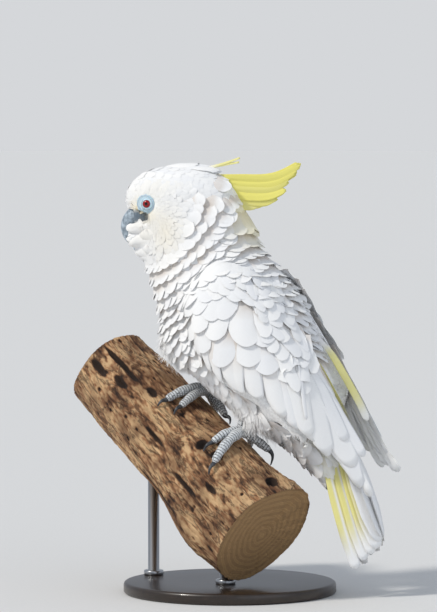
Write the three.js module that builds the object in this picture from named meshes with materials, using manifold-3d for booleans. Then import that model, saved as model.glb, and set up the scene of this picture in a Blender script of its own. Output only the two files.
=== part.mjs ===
// A life-size sulphur-crested cockatoo gripping a cut length of weathered log, on a plain display stand.
// Millimetres, +Z up. The bird faces -X and its left side is towards -Y.
// The origin is the centre of the stand's underside.
import * as THREE from "three";
import Module from "manifold-3d";
import { mergeVertices } from "three/addons/utils/BufferGeometryUtils.js";

const wasm = await Module();
wasm.setup();

// ---------------------------------------------------------------- driving dimensions

const GAP = 0.3; // clearance between touching pieces
const LEFT = -1; // side factors along Y
const RIGHT = 1;

const BODY_SIDES = 20;
const STEPS_BETWEEN_STATIONS = 2;

// The head is turned to the bird's left about an upright axis through the neck.
const HEAD_TURN = THREE.MathUtils.degToRad(10);
const TURN_AXIS_X = -25;
const TURN_STARTS_Z = 300;
const TURN_ENDS_Z = 385;

// The plumage from crown to vent: each station is a flat section through a front point, a back point
// [x, z] and half its width. "at" names the stations where the body is parted.
const BODY = [
  { front: [-56, 452], back: [-55, 452], half: 0.5 },
  { front: [-94, 444], back: [-16, 445], half: 20 },
  { front: [-112, 424], back: [5, 428], half: 31 },
  { front: [-112, 407], back: [15, 409], half: 34.5 },
  { front: [-105, 385], back: [23, 387], half: 38 },
  { front: [-100, 361], back: [30, 364], half: 41, at: "nape" },
  { front: [-87, 328], back: [50, 342], half: 48 },
  { front: [-75, 290], back: [75, 310], half: 54, at: "shoulders" },
  { front: [-72, 258], back: [92, 270], half: 58 },
  { front: [-42, 229], back: [110, 230], half: 57 },
  { front: [2, 192], back: [122, 187], half: 48 },
  { front: [56, 158], back: [124, 146], half: 31 },
  { front: [96, 120], back: [126, 116], half: 15 },
  { front: [112, 102], back: [114, 102], half: 0.5 },
];

// Lobes of feathers that fluff forward over both sides of the bill: centre [x, z], side offset, radii.
const FACE_LOBES = [
  { centre: [-97, 386], aside: 12, radii: [14, 8.5, 8] },
  { centre: [-99, 372], aside: 9.5, radii: [13, 9.5, 8.5] },
  { centre: [-90, 359], aside: 7.5, radii: [13, 10, 9.5] },
];
const LOBE_SEGMENTS = [8, 6];

// White forecrest laid back over the root of the plumes.
const FORECREST = { from: [-80, 437], over: [-32, 439.5], to: [-5, 422], half: [9.5, 17] };

// Bill: the ridge of the upper mandible is an arc of this radius round its centre [x, z].
const BILL_CENTRE = [-93, 386];
const BILL_RIDGE_RADIUS = 21.6;
const BILL_FROM = THREE.MathUtils.degToRad(96);
const BILL_TO = THREE.MathUtils.degToRad(238);
const BILL_HALF_WIDTH = 9.5;
const BILL_HALF_DEPTH = 8.5;
const LOWER_BILL = { from: [-84, 369], bend: [-94, 361.5], to: [-103.5, 364.5], half: [3.4, 7.5] };

const EYE_RADIUS = 6.2;
const EYE_AT = [-85, 25, 409.5]; // x, distance from the midline, z

// Crest plumes: centre line [x, y, z] points, half of the height across the vane and half of the thickness.
const CREST = {
  crest_upper: {
    line: [[-6, 0, 431], [28, 0, 428], [55, 0, 434], [73, 0, 447]],
    half: [9, 5.5],
    tip: 0.34,
  },
  crest_lower: {
    line: [[2, 0, 412], [27, 0, 413.5], [43, 0, 418], [58, 0, 427]],
    half: [8.5, 6],
    tip: 0.25,
  },
  crest_loose_plume: {
    line: [[-34, -2, 445], [-16, -3, 449], [-4, -3, 452.5], [10, -3, 457.5]],
    half: [1.7, 1.2],
    tip: 0.9,
  },
};

// Folded wing, shoulder to wrist tip: back edge and belly edge [x, distance from the midline, z],
// and how far the vane stands out between them. "at" is where the long flight feathers begin.
const WING = [
  { back: [-30, 50, 318], belly: [-34, 52, 306], out: 1 },
  { back: [-4, 47, 348], belly: [-30, 55, 292], out: 9 },
  { back: [22, 40, 344], belly: [-26, 57, 268], out: 17 },
  { back: [48, 30, 328], belly: [-16, 58, 249], out: 23 },
  { back: [66, 22, 309], belly: [-3, 58, 228], out: 26 },
  { back: [80, 16, 286], belly: [19, 57, 211], out: 26 },
  { back: [93, 12, 262], belly: [46, 55, 195], out: 23 },
  { back: [107, 10, 237], belly: [72, 50, 172], out: 19 },
  { back: [120, 9, 214], belly: [94, 42, 153], out: 14, at: "flight" },
  { back: [135, 8, 191], belly: [110, 33, 138], out: 10 },
  { back: [148, 8, 168], belly: [126, 25, 127], out: 7 },
  { back: [157, 10, 141], belly: [141, 18, 117], out: 5 },
  { back: [160, 13, 119], belly: [152, 16, 109], out: 2.5 },
];
const WING_INSET = 4;
const WING_SIDES = 12;
const WING_STEPS = 2;
// The right wing is held a little higher and further back than the left.
const RIGHT_WING_LIFT = [16, 4, 15];

// Tail: a low roof of feathers, ridge line from root to tip, with eaves on both sides.
const TAIL_ROOT = [132, 160];
const TAIL_TIP = [167, 62];
const TAIL_HALF_WIDTH = [18, 24];
const TAIL_EAVES_DROP = [26, 33];
const TAIL_EAVES_REACH = 17; // how much further down the outer feathers reach than the ridge
const TAIL_THICKNESS = [7, 3];
const TAIL_STEPS = 8;
const TAIL_ACROSS = 8;

// Log: its axis passes this point along this direction, from one sawn end to the other.
const LOG_POINT = new THREE.Vector3(-13, -17, 118);
const LOG_DIRECTION = new THREE.Vector3(0.712, -0.409, -0.571).normalize();
const LOG_FROM = -195;
const LOG_TO = 88;
const LOG_RADII = [45, 50, 52, 57, 58]; // evenly spaced from end to end
const LOG_STEPS = 14;
const LOG_SIDES = 26;
// Swellings of the wood: place along the axis, degrees round it from the top, height, reach each way.
const SWELLINGS = [
  { along: 76, angle: -32, height: 5, length: 24, spread: 35 },
  { along: 34, angle: 148, height: 6, length: 36, spread: 50 },
];

// Feet: where each sole rests on the log, along its axis and round it from the top towards the
// bird's left, and the leg above. Toe angles are the arc that each toe wraps.
const FEET = {
  left: { side: LEFT, along: -5, angle: -11, ankle: [23, -25, 184], hip: [78, -40, 200] },
  right: { side: RIGHT, along: -86, angle: -32, ankle: [-31, 29, 218], hip: [18, 44, 236] },
};
const SOLE_TO_FOOT = 9;
const TARSUS_RADIUS = 6.2;
const THIGH_RADII = [9, 20];
// Two toes point forward and two back: how far each tip lies along the log and round it (degrees),
// its radius at the root and how far its tip is held off the bark.
const TOES = {
  left: {
    inner: { along: 4, turn: 41, radius: 5.4, lift: 0 },
    middle: { along: 27, turn: 54, radius: 5.8, lift: 0 },
    outer: { along: 25, turn: -22, radius: 5.4, lift: 7 },
    hallux: { along: -8, turn: -38, radius: 5, lift: 0 },
  },
  right: {
    inner: { along: 19, turn: 57, radius: 5.4, lift: 0 },
    middle: { along: 2, turn: 64, radius: 5.8, lift: 0 },
    outer: { along: 40, turn: 4, radius: 5.4, lift: 0 },
    hallux: { along: 6, turn: -38, radius: 5, lift: 0 },
  },
};
const TOE_TIP_SHARE = 0.72; // tip radius as a share of the root's
const CLAW_TURN = 12; // degrees round the log
const CLAW_RADIUS = 2.9;

// Stand.
const BASE_RADIUS = 112;
const BASE_HEIGHT = 12;
const BASE_EDGE = 2;
const ROD_RADIUS = 6;
const RODS = { stand_rod_upper: -112, stand_rod_lower: 22 }; // where each meets the log, along its axis

// ---------------------------------------------------------------- shared shapes

const v3 = (x, y, z) => new THREE.Vector3(x, y, z);
const lerp = THREE.MathUtils.lerp;
const smoothstep = THREE.MathUtils.smoothstep;

// Turns the head and, by a share that fades down the neck, what lies below it.
function posed(point) {
  const angle = HEAD_TURN * smoothstep(point.z, TURN_STARTS_Z, TURN_ENDS_Z);
  const x = point.x - TURN_AXIS_X;
  return v3(
    TURN_AXIS_X + x * Math.cos(angle) - point.y * Math.sin(angle),
    x * Math.sin(angle) + point.y * Math.cos(angle),
    point.z,
  );
}

// A closed solid through rings of points, with a fan to a cap point at each end.
function loft(rings, firstCap, lastCap) {
  const sides = rings[0].length;
  const points = [...rings.flat(), firstCap, lastCap];
  const index = [];
  rings.slice(1).forEach((_, row) => {
    for (let k = 0; k < sides; k++) {
      const a = row * sides + k;
      const b = row * sides + ((k + 1) % sides);
      index.push(a, b, a + sides, b, b + sides, a + sides);
    }
  });
  const first = rings.length * sides;
  const lastRow = (rings.length - 1) * sides;
  for (let k = 0; k < sides; k++) {
    const next = (k + 1) % sides;
    index.push(first, next, k);
    index.push(first + 1, lastRow + k, lastRow + next);
  }
  return solid(points, index);
}

// A manifold solid from points and triangles, whichever way its faces were wound.
function solid(points, index) {
  const geometry = new THREE.BufferGeometry().setFromPoints(points).setIndex(index);
  return solidOf(geometry);
}

function solidOf(geometry) {
  const plain = geometry.clone();
  plain.deleteAttribute("normal");
  plain.deleteAttribute("uv");
  const merged = mergeVertices(plain, 1e-4);
  const triangles = new Uint32Array(merged.index.array);
  const make = () =>
    new wasm.Manifold(
      new wasm.Mesh({
        numProp: 3,
        vertProperties: new Float32Array(merged.attributes.position.array),
        triVerts: triangles,
      }),
    );
  const made = make();
  if (made.volume() > 0) return made;
  for (let i = 0; i < triangles.length; i += 3) {
    [triangles[i + 1], triangles[i + 2]] = [triangles[i + 2], triangles[i + 1]];
  }
  return make();
}

// A solid swept along a smooth line: halfAcross runs along "across", halfThick square to it.
function sweep({ line, across, halfAcross, halfThick, steps = 10, sides = 10 }) {
  const curve = new THREE.CatmullRomCurve3(line, false, "centripetal");
  const rings = [];
  for (let i = 1; i < steps; i++) {
    const share = i / steps;
    const centre = curve.getPoint(share);
    const tangent = curve.getTangent(share);
    const side = across.clone().addScaledVector(tangent, -across.dot(tangent)).normalize();
    const up = tangent.clone().cross(side);
    const ring = [];
    for (let k = 0; k < sides; k++) {
      const angle = (2 * Math.PI * k) / sides;
      ring.push(
        centre
          .clone()
          .addScaledVector(side, halfAcross(share) * Math.cos(angle))
          .addScaledVector(up, halfThick(share) * Math.sin(angle)),
      );
    }
    rings.push(ring);
  }
  return loft(rings, curve.getPoint(0), curve.getPoint(1));
}

// Round at both ends: 0 at each end of the share, 1 over most of its length.
const blunt = (share, startEase = 0.25, endEase = 0.25) => {
  const rise = Math.min(1, share / startEase);
  const fall = Math.min(1, (1 - share) / endEase);
  return Math.sqrt(1 - (1 - rise) ** 2) * Math.sqrt(1 - (1 - fall) ** 2);
};

function ellipsoid(centre, radii) {
  const geometry = new THREE.SphereGeometry(1, ...LOBE_SEGMENTS);
  geometry.rotateX(Math.PI / 2);
  geometry.scale(...radii);
  geometry.translate(centre.x, centre.y, centre.z);
  return solidOf(geometry);
}

function sphere(centre, radius, segments = 10) {
  const geometry = new THREE.SphereGeometry(radius, segments, segments / 2);
  geometry.rotateX(Math.PI / 2);
  geometry.translate(centre.x, centre.y, centre.z);
  return solidOf(geometry);
}

const joined = (solids) => solids.reduce((all, one) => all.add(one));
const cutBy = (body, tools) => tools.reduce((left, tool) => left.subtract(tool), body);

// The largest single body of a solid: thin slivers left by a cut are dropped.
function largest(body) {
  const bodies = body.decompose();
  return bodies.reduce((best, one) => (one.volume() > best.volume() ? one : best));
}

// ---------------------------------------------------------------- plumage of head, neck and trunk

const stationIndex = (name) => BODY.findIndex((station) => station.at === name);
const frontCurve = new THREE.CatmullRomCurve3(BODY.map((s) => v3(s.front[0], 0, s.front[1])));
const backCurve = new THREE.CatmullRomCurve3(BODY.map((s) => v3(s.back[0], 0, s.back[1])));
const halfCurve = new THREE.CatmullRomCurve3(BODY.map((s, i) => v3(s.half, 0, 20 * i)));

// The ring of the plumage at a station number, grown outwards by some millimetres.
function bodyRing(station, grow = 0) {
  const share = station / (BODY.length - 1);
  const front = frontCurve.getPoint(share);
  const back = backCurve.getPoint(share);
  const half = Math.max(0.5, halfCurve.getPoint(share).x) + grow;
  const centre = front.clone().lerp(back, 0.5);
  const reach = back.clone().sub(front).multiplyScalar(0.5);
  reach.setLength(reach.length() + grow);
  const ring = [];
  for (let k = 0; k < BODY_SIDES; k++) {
    const angle = (2 * Math.PI * k) / BODY_SIDES;
    const point = centre.clone().addScaledVector(reach, Math.cos(angle));
    point.y = half * Math.sin(angle);
    ring.push(posed(point));
  }
  return ring;
}

function bodyLength(from, to, grow = 0) {
  const count = Math.max(1, Math.round((to - from) * STEPS_BETWEEN_STATIONS));
  const rings = [];
  for (let i = 0; i <= count; i++) rings.push(bodyRing(lerp(from, to, i / count), grow));
  const middle = (ring) =>
    ring.reduce((sum, p) => sum.add(p), v3(0, 0, 0)).divideScalar(ring.length);
  return loft(rings, middle(rings[0]), middle(rings.at(-1)));
}

const STATION_GAP = 0.012; // GAP as a share of the distance between two stations
const nape = stationIndex("nape");
const shoulders = stationIndex("shoulders");
const last = BODY.length - 1;
const grownBody = bodyLength(0, last, GAP);

function billSolid(grow = 0) {
  const line = [];
  const depthAt = (share) => BILL_HALF_DEPTH * (1 - 0.72 * share ** 1.6);
  for (let i = 0; i <= 10; i++) {
    const share = i / 10;
    const angle = lerp(BILL_FROM, BILL_TO, share);
    const radius = BILL_RIDGE_RADIUS - depthAt(share);
    line.push(
      v3(BILL_CENTRE[0] + radius * Math.cos(angle), 0, BILL_CENTRE[1] + radius * Math.sin(angle)),
    );
  }
  return sweep({
    line: line.map(posed),
    across: v3(0, 1, 0),
    halfAcross: (share) => BILL_HALF_WIDTH * (1 - 0.8 * share ** 2) * blunt(share, 0.2, 0.12) + grow,
    halfThick: (share) => depthAt(share) * blunt(share, 0.2, 0.12) + grow,
    steps: 11,
    sides: 10,
  });
}

function lowerBillSolid(grow = 0) {
  const { from, bend, to, half } = LOWER_BILL;
  return sweep({
    line: [from, bend, to].map(([x, z]) => posed(v3(x, 0, z))),
    across: v3(0, 1, 0),
    halfAcross: (share) => lerp(half[1], half[1] * 0.6, share) * blunt(share) + grow,
    halfThick: (share) => half[0] * blunt(share) + grow,
    steps: 8,
    sides: 10,
  });
}

const eyeCentre = (side) => posed(v3(EYE_AT[0], side * EYE_AT[1], EYE_AT[2]));

function faceLobes(grow = 0) {
  const grown = (radii) => radii.map((radius) => radius + grow);
  return FACE_LOBES.flatMap(({ centre, aside, radii }) =>
    [LEFT, RIGHT].map((side) =>
      ellipsoid(posed(v3(centre[0], side * aside, centre[1])), grown(radii)),
    ),
  );
}

function forecrestSolid(grow = 0) {
  const { from, over, to, half } = FORECREST;
  return sweep({
    line: [from, over, to].map(([x, z]) => posed(v3(x, 0, z))),
    across: v3(0, 1, 0),
    halfAcross: (share) => half[1] * blunt(share, 0.5, 0.3) + grow,
    halfThick: (share) => half[0] * blunt(share, 0.5, 0.3) + grow,
    steps: 8,
    sides: 10,
  });
}

function headSolid() {
  const whole = joined([bodyLength(0, nape - STATION_GAP), forecrestSolid(), ...faceLobes()]);
  return cutBy(whole, [
    billSolid(GAP),
    lowerBillSolid(GAP),
    ...[LEFT, RIGHT].map((side) => sphere(eyeCentre(side), EYE_RADIUS + GAP)),
  ]);
}

function crestSolids() {
  const made = {};
  const before = [grownBody, forecrestSolid(GAP)];
  for (const [name, { line, half, tip }] of Object.entries(CREST)) {
    const plume = (grow) =>
      sweep({
        line: line.map(([x, y, z]) => posed(v3(x, y, z))),
        across: v3(0, 0, 1),
        halfAcross: (share) => half[0] * blunt(share, 0.25, tip) + grow,
        halfThick: (share) => half[1] * blunt(share, 0.25, tip) + grow,
        steps: 10,
        sides: 8,
      });
    made[name] = largest(cutBy(plume(0), before));
    before.push(plume(GAP));
  }
  return made;
}

// ---------------------------------------------------------------- wings and tail

function wingStations(side) {
  return WING.map((station, i) => {
    const share = i / (WING.length - 1);
    const lift = side === RIGHT ? RIGHT_WING_LIFT.map((x) => x * share) : [0, 0, 0];
    const place = ([x, aside, z]) => v3(x + lift[0], side * (aside + lift[1]), z + lift[2]);
    return { back: place(station.back), belly: place(station.belly), out: station.out };
  });
}

function wingLength(side, from, to, grow = 0) {
  const stations = wingStations(side);
  const backLine = new THREE.CatmullRomCurve3(stations.map((s) => s.back));
  const bellyLine = new THREE.CatmullRomCurve3(stations.map((s) => s.belly));
  const outLine = new THREE.CatmullRomCurve3(stations.map((s, i) => v3(s.out, 0, 10 * i)));
  const count = Math.round((to - from) * WING_STEPS);
  const rings = [];
  const centres = [];
  for (let i = 0; i <= count; i++) {
    const share = lerp(from, to, i / count) / (stations.length - 1);
    const back = backLine.getPoint(share);
    const belly = bellyLine.getPoint(share);
    const out = Math.max(1, outLine.getPoint(share).x) + grow;
    const centre = back.clone().lerp(belly, 0.5);
    const reach = back.clone().sub(belly).multiplyScalar(0.5);
    reach.setLength(reach.length() + grow);
    const outward = v3(0, side, 0).addScaledVector(reach, (-side * reach.y) / reach.lengthSq());
    outward.normalize();
    const inset = Math.min(WING_INSET, out) + grow;
    const ring = [];
    for (let k = 0; k < WING_SIDES; k++) {
      const angle = (2 * Math.PI * k) / WING_SIDES;
      const height = Math.sin(angle) * (Math.sin(angle) > 0 ? out : inset);
      ring.push(
        centre.clone().addScaledVector(reach, Math.cos(angle)).addScaledVector(outward, height),
      );
    }
    rings.push(ring);
    centres.push(centre);
  }
  return loft(rings, centres[0], centres.at(-1));
}

// The tail's section is an arch: ridge in the middle, eaves dropped towards the belly.
function tailSolid() {
  const root = v3(TAIL_ROOT[0], 0, TAIL_ROOT[1]);
  const tip = v3(TAIL_TIP[0], 0, TAIL_TIP[1]);
  const along = tip.clone().sub(root).normalize();
  const down = v3(along.z, 0, -along.x); // square to the tail, towards the belly
  const rings = [];
  const centres = [];
  for (let i = 0; i <= TAIL_STEPS; i++) {
    const share = i / TAIL_STEPS;
    const half = lerp(...TAIL_HALF_WIDTH, share) * (0.82 + 0.18 * blunt(share, 0.1, 0.2));
    const drop = lerp(...TAIL_EAVES_DROP, Math.sqrt(share));
    const thick = lerp(...TAIL_THICKNESS, share);
    const ridge = root.clone().lerp(tip, share);
    const ring = [];
    for (const [direction, depth] of [[1, 0], [-1, thick]]) {
      for (let k = 0; k <= TAIL_ACROSS; k++) {
        const across = direction * (-1 + (2 * k) / TAIL_ACROSS);
        const reach = TAIL_EAVES_REACH * share * Math.abs(across);
        const inner = depth ? 1 - depth / (2.4 * half) : 1;
        ring.push(
          ridge
            .clone()
            .addScaledVector(down, drop * across ** 2 + depth)
            .addScaledVector(along, reach)
            .add(v3(0, across * half * inner, 0)),
        );
      }
    }
    rings.push(ring);
    centres.push(ridge.clone().addScaledVector(down, thick / 2));
  }
  return loft(rings, centres[0], centres.at(-1));
}

// ---------------------------------------------------------------- log, legs and feet

const logTop = v3(0, 0, 1)
  .addScaledVector(LOG_DIRECTION, -LOG_DIRECTION.z)
  .normalize();
const logLeft = logTop.clone().cross(LOG_DIRECTION).normalize();
if (logLeft.y > 0) logLeft.negate();

// Radius of the weathered log at a place along its axis and an angle round it from its top.
function logRadius(along, angle) {
  const share = THREE.MathUtils.clamp((along - LOG_FROM) / (LOG_TO - LOG_FROM), 0, 1);
  const spot = share * (LOG_RADII.length - 1);
  const low = Math.min(Math.floor(spot), LOG_RADII.length - 2);
  const base = lerp(LOG_RADII[low], LOG_RADII[low + 1], smoothstep(spot - low, 0, 1));
  const waves =
    1.6 * Math.sin(2 * angle + along / 60) +
    1.1 * Math.sin(3 * angle - along / 35 + 1) +
    0.7 * Math.sin(5 * angle + along / 22);
  const swellings = SWELLINGS.map((one) => {
    const turn = angle - THREE.MathUtils.degToRad(one.angle);
    const away = Math.atan2(Math.sin(turn), Math.cos(turn)) / THREE.MathUtils.degToRad(one.spread);
    return one.height * Math.exp(-(((along - one.along) / one.length) ** 2) - away ** 2);
  });
  return swellings.reduce((sum, height) => sum + height, base + waves);
}

function logPoint(along, angle, height = 0) {
  const normal = logTop
    .clone()
    .multiplyScalar(Math.cos(angle))
    .addScaledVector(logLeft, Math.sin(angle));
  return LOG_POINT.clone()
    .addScaledVector(LOG_DIRECTION, along)
    .addScaledVector(normal, logRadius(along, angle) + height);
}

function logSolid(grow = 0) {
  const rings = [];
  for (let i = 0; i <= LOG_STEPS; i++) {
    const along = lerp(LOG_FROM - grow, LOG_TO + grow, i / LOG_STEPS);
    const ring = [];
    for (let k = 0; k < LOG_SIDES; k++) {
      ring.push(logPoint(along, (2 * Math.PI * k) / LOG_SIDES, grow));
    }
    rings.push(ring);
  }
  const end = (along) => LOG_POINT.clone().addScaledVector(LOG_DIRECTION, along);
  return loft(rings, end(LOG_FROM - grow), end(LOG_TO + grow));
}

// A toe lies along the log from under the foot to its tip, its centre its own radius off the bark.
function toeLine(foot, toe, points = 7) {
  const from = THREE.MathUtils.degToRad(foot.angle);
  const turn = THREE.MathUtils.degToRad(toe.turn);
  const line = [];
  for (let i = 0; i <= points; i++) {
    const share = i / points;
    const radius = toe.radius * lerp(1, TOE_TIP_SHARE, share);
    const arch = 2.2 * Math.sin(Math.PI * share) + (SOLE_TO_FOOT - radius - 1) * (1 - share) ** 3;
    const height = radius + arch + 0.4 + toe.lift * share ** 2;
    line.push(logPoint(foot.along + toe.along * share, from + turn * share, height));
  }
  return line;
}

function toeSolid(foot, toe, grow = 0) {
  const line = toeLine(foot, toe);
  const across = line.at(-1).clone().sub(line[0]).cross(logPoint(foot.along, 0, 500)).normalize();
  // Three knuckle pads swell between the joints.
  const pads = (share) => 1 + 0.07 * Math.cos(6 * Math.PI * share);
  const radius = (share) =>
    toe.radius * lerp(1, TOE_TIP_SHARE, share) * pads(share) * blunt(share, 0.12, 0.12) + grow;
  return sweep({ line, across, halfAcross: radius, halfThick: radius, steps: 9, sides: 8 });
}

function clawSolid(foot, toe) {
  const from = THREE.MathUtils.degToRad(foot.angle + toe.turn);
  const turn = Math.sign(toe.turn) * THREE.MathUtils.degToRad(CLAW_TURN);
  const drift = (toe.along / Math.hypot(toe.along, toe.turn)) * CLAW_TURN;
  const turned = turn * (Math.abs(toe.turn) / Math.hypot(toe.along, toe.turn));
  const line = [-0.25, 0.25, 0.65, 1].map((share) => {
    const height = 4.2 + 2.2 * Math.sin(Math.PI * Math.max(0, share)) - 3 * share ** 3;
    const off = toe.lift * (1 - Math.max(0, share));
    return logPoint(foot.along + toe.along + drift * share, from + turned * share, height + off);
  });
  const radius = (share) => CLAW_RADIUS * (1 - 0.75 * share) * blunt(share, 0.15, 0.08);
  return sweep({
    line,
    across: LOG_DIRECTION,
    halfAcross: radius,
    halfThick: radius,
    steps: 6,
    sides: 6,
  });
}

function footSolid(foot, grow = 0) {
  const sole = logPoint(foot.along, THREE.MathUtils.degToRad(foot.angle), SOLE_TO_FOOT);
  const ankle = v3(...foot.ankle);
  const shank = sweep({
    line: [sole, sole.clone().lerp(ankle, 0.5), ankle],
    across: v3(0, 1, 0),
    halfAcross: (share) => TARSUS_RADIUS * lerp(1.15, 0.95, share) * blunt(share, 0.1, 0.1) + grow,
    halfThick: (share) => TARSUS_RADIUS * lerp(1.25, 1, share) * blunt(share, 0.1, 0.1) + grow,
    steps: 6,
    sides: 8,
  });
  return shank.add(sphere(sole, SOLE_TO_FOOT - 0.8 + grow));
}

function thighSolid(foot, grow = 0) {
  const ankle = v3(...foot.ankle);
  const hip = v3(...foot.hip);
  const radius = (share) =>
    lerp(...THIGH_RADII, smoothstep(share, 0, 0.6)) * blunt(share, 0.15, 0.4) + grow;
  return sweep({
    line: [ankle.clone().lerp(hip, -0.1), ankle.clone().lerp(hip, 0.5), hip],
    across: v3(0, 1, 0),
    halfAcross: radius,
    halfThick: radius,
    steps: 9,
    sides: 14,
  });
}

// ---------------------------------------------------------------- stand

function baseSolid() {
  const r = BASE_RADIUS;
  const profile = [
    [0, 0],
    [r - BASE_EDGE / 2, 0],
    [r, BASE_EDGE / 2],
    [r, BASE_HEIGHT - BASE_EDGE],
    [r - BASE_EDGE, BASE_HEIGHT],
    [0, BASE_HEIGHT],
  ].map(([x, y]) => new THREE.Vector2(x, y));
  const geometry = new THREE.LatheGeometry(profile, 40);
  geometry.rotateX(Math.PI / 2);
  return solidOf(geometry);
}

function rodSolid(along) {
  const centre = LOG_POINT.clone().addScaledVector(LOG_DIRECTION, along);
  const height = centre.z - BASE_HEIGHT - GAP;
  const geometry = new THREE.CylinderGeometry(ROD_RADIUS, ROD_RADIUS, height, 16);
  geometry.rotateX(Math.PI / 2);
  geometry.translate(centre.x, centre.y, BASE_HEIGHT + GAP + height / 2);
  return largest(solidOf(geometry).subtract(logSolid(GAP)));
}

// ---------------------------------------------------------------- the model

const materials = {
  plumage: new THREE.MeshStandardMaterial({ color: 0xf2f1ee, roughness: 0.85, metalness: 0 }),
  crest: new THREE.MeshStandardMaterial({ color: 0xf0e35a, roughness: 0.8, metalness: 0 }),
  bill: new THREE.MeshStandardMaterial({ color: 0x8b98a3, roughness: 0.5, metalness: 0 }),
  eye: new THREE.MeshStandardMaterial({ color: 0x5a1a12, roughness: 0.08, metalness: 0 }),
  foot: new THREE.MeshStandardMaterial({ color: 0x7f8890, roughness: 0.7, metalness: 0 }),
  claw: new THREE.MeshStandardMaterial({ color: 0x2e3236, roughness: 0.4, metalness: 0 }),
  log: new THREE.MeshStandardMaterial({ color: 0xa87b50, roughness: 0.9, metalness: 0 }),
  base: new THREE.MeshStandardMaterial({ color: 0x2b2724, roughness: 0.4, metalness: 0 }),
  rod: new THREE.MeshStandardMaterial({ color: 0xb8babd, roughness: 0.35, metalness: 1 }),
};

const model = new THREE.Group();

function addNode(name, body, material) {
  const made = body.getMesh();
  const positions = new Float32Array(made.numVert * 3);
  for (let i = 0; i < made.numVert; i++) {
    positions.set(made.vertProperties.subarray(i * made.numProp, i * made.numProp + 3), 3 * i);
  }
  const geometry = new THREE.BufferGeometry();
  geometry.setAttribute("position", new THREE.BufferAttribute(positions, 3));
  geometry.setIndex(new THREE.BufferAttribute(made.triVerts, 1));
  geometry.computeVertexNormals();
  const mesh = new THREE.Mesh(geometry, material);
  mesh.name = name;
  model.add(mesh);
}

const bothWings = (grow) =>
  [LEFT, RIGHT].map((side) => wingLength(side, 0, WING.length - 1, grow));
const grownLog = logSolid(GAP);
const grownWings = bothWings(GAP);

// Head with its bill, eyes and crest.
const head = headSolid();
addNode("head", head, materials.plumage);
addNode("bill_upper", billSolid(), materials.bill);
addNode("bill_lower", cutBy(lowerBillSolid(), [billSolid(GAP)]), materials.bill);
addNode("eye_left", sphere(eyeCentre(LEFT), EYE_RADIUS), materials.eye);
addNode("eye_right", sphere(eyeCentre(RIGHT), EYE_RADIUS), materials.eye);
for (const [name, plume] of Object.entries(crestSolids())) addNode(name, plume, materials.crest);

// Neck, trunk, wings and tail: each is cut back from what lies over it.
const grownFeet = Object.entries(FEET).flatMap(([name, foot]) => [
  footSolid(foot, GAP),
  ...Object.values(TOES[name]).map((toe) => toeSolid(foot, toe, GAP)),
]);
const grownThighs = Object.values(FEET).map((foot) => thighSolid(foot, GAP));
const overTrunk = [grownLog, ...grownWings, ...grownThighs, ...grownFeet];
const overNeck = [...faceLobes(GAP), lowerBillSolid(GAP), ...grownWings];
const neck = cutBy(bodyLength(nape, shoulders - STATION_GAP), overNeck);
addNode("neck", largest(neck), materials.plumage);
addNode("trunk", largest(cutBy(bodyLength(shoulders, last), overTrunk)), materials.plumage);
const flight = WING.findIndex((station) => station.at === "flight");
for (const [name, side] of [["left", LEFT], ["right", RIGHT]]) {
  addNode(`wing_${name}`, wingLength(side, 0, flight - STATION_GAP), materials.plumage);
  addNode(`primaries_${name}`, wingLength(side, flight, WING.length - 1), materials.plumage);
}
addNode("tail", largest(cutBy(tailSolid(), [grownBody, ...grownWings])), materials.plumage);

// Legs: thigh, foot, toes and claws, each cut back from the one before.
for (const [name, foot] of Object.entries(FEET)) {
  const thigh = cutBy(thighSolid(foot), [grownLog, ...grownWings, ...grownFeet]);
  addNode(`thigh_${name}`, largest(thigh), materials.plumage);
  addNode(`foot_${name}`, largest(cutBy(footSolid(foot), [grownLog])), materials.foot);
  const before = [grownLog, footSolid(foot, GAP)];
  for (const [toeName, toe] of Object.entries(TOES[name])) {
    addNode(`toe_${name}_${toeName}`, largest(cutBy(toeSolid(foot, toe), before)), materials.foot);
    before.push(toeSolid(foot, toe, GAP));
  }
  for (const [toeName, toe] of Object.entries(TOES[name])) {
    addNode(`claw_${name}_${toeName}`, largest(cutBy(clawSolid(foot, toe), before)), materials.claw);
  }
}

addNode("perch", logSolid(), materials.log);
addNode("stand_base", baseSolid(), materials.base);
for (const [name, along] of Object.entries(RODS)) addNode(name, rodSolid(along), materials.rod);

export default model;
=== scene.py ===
"""Life-size sulphur-crested cockatoo on a cut length of weathered log, held by a plain display stand.

Sizes inside the functions are millimetres in the frame of the CAD model: the bird faces -X, its left
side is towards -Y and +Z is up. They are turned to metres where a mesh is made.
"""

import functools
import math

import bpy
import numpy as np
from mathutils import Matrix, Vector
from mathutils.bvhtree import BVHTree


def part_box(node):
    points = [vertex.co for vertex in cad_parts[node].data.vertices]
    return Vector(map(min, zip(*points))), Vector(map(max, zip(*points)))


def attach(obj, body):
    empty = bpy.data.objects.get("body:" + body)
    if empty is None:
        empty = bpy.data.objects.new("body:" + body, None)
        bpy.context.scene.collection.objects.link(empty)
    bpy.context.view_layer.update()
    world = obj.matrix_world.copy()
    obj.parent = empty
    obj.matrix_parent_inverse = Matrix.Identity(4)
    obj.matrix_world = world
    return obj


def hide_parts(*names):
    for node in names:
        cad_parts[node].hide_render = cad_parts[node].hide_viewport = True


bl_info = {
    "name": "Cockatoo on a log",
    "version": (1, 0, 0),
    "blender": (4, 5, 0),
    "location": "3D View > Sidebar > Cockatoo",
    "description": "Builds the plumage, bare parts, perch and stand of a life-size cockatoo",
    "category": "Object",
}

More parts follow.
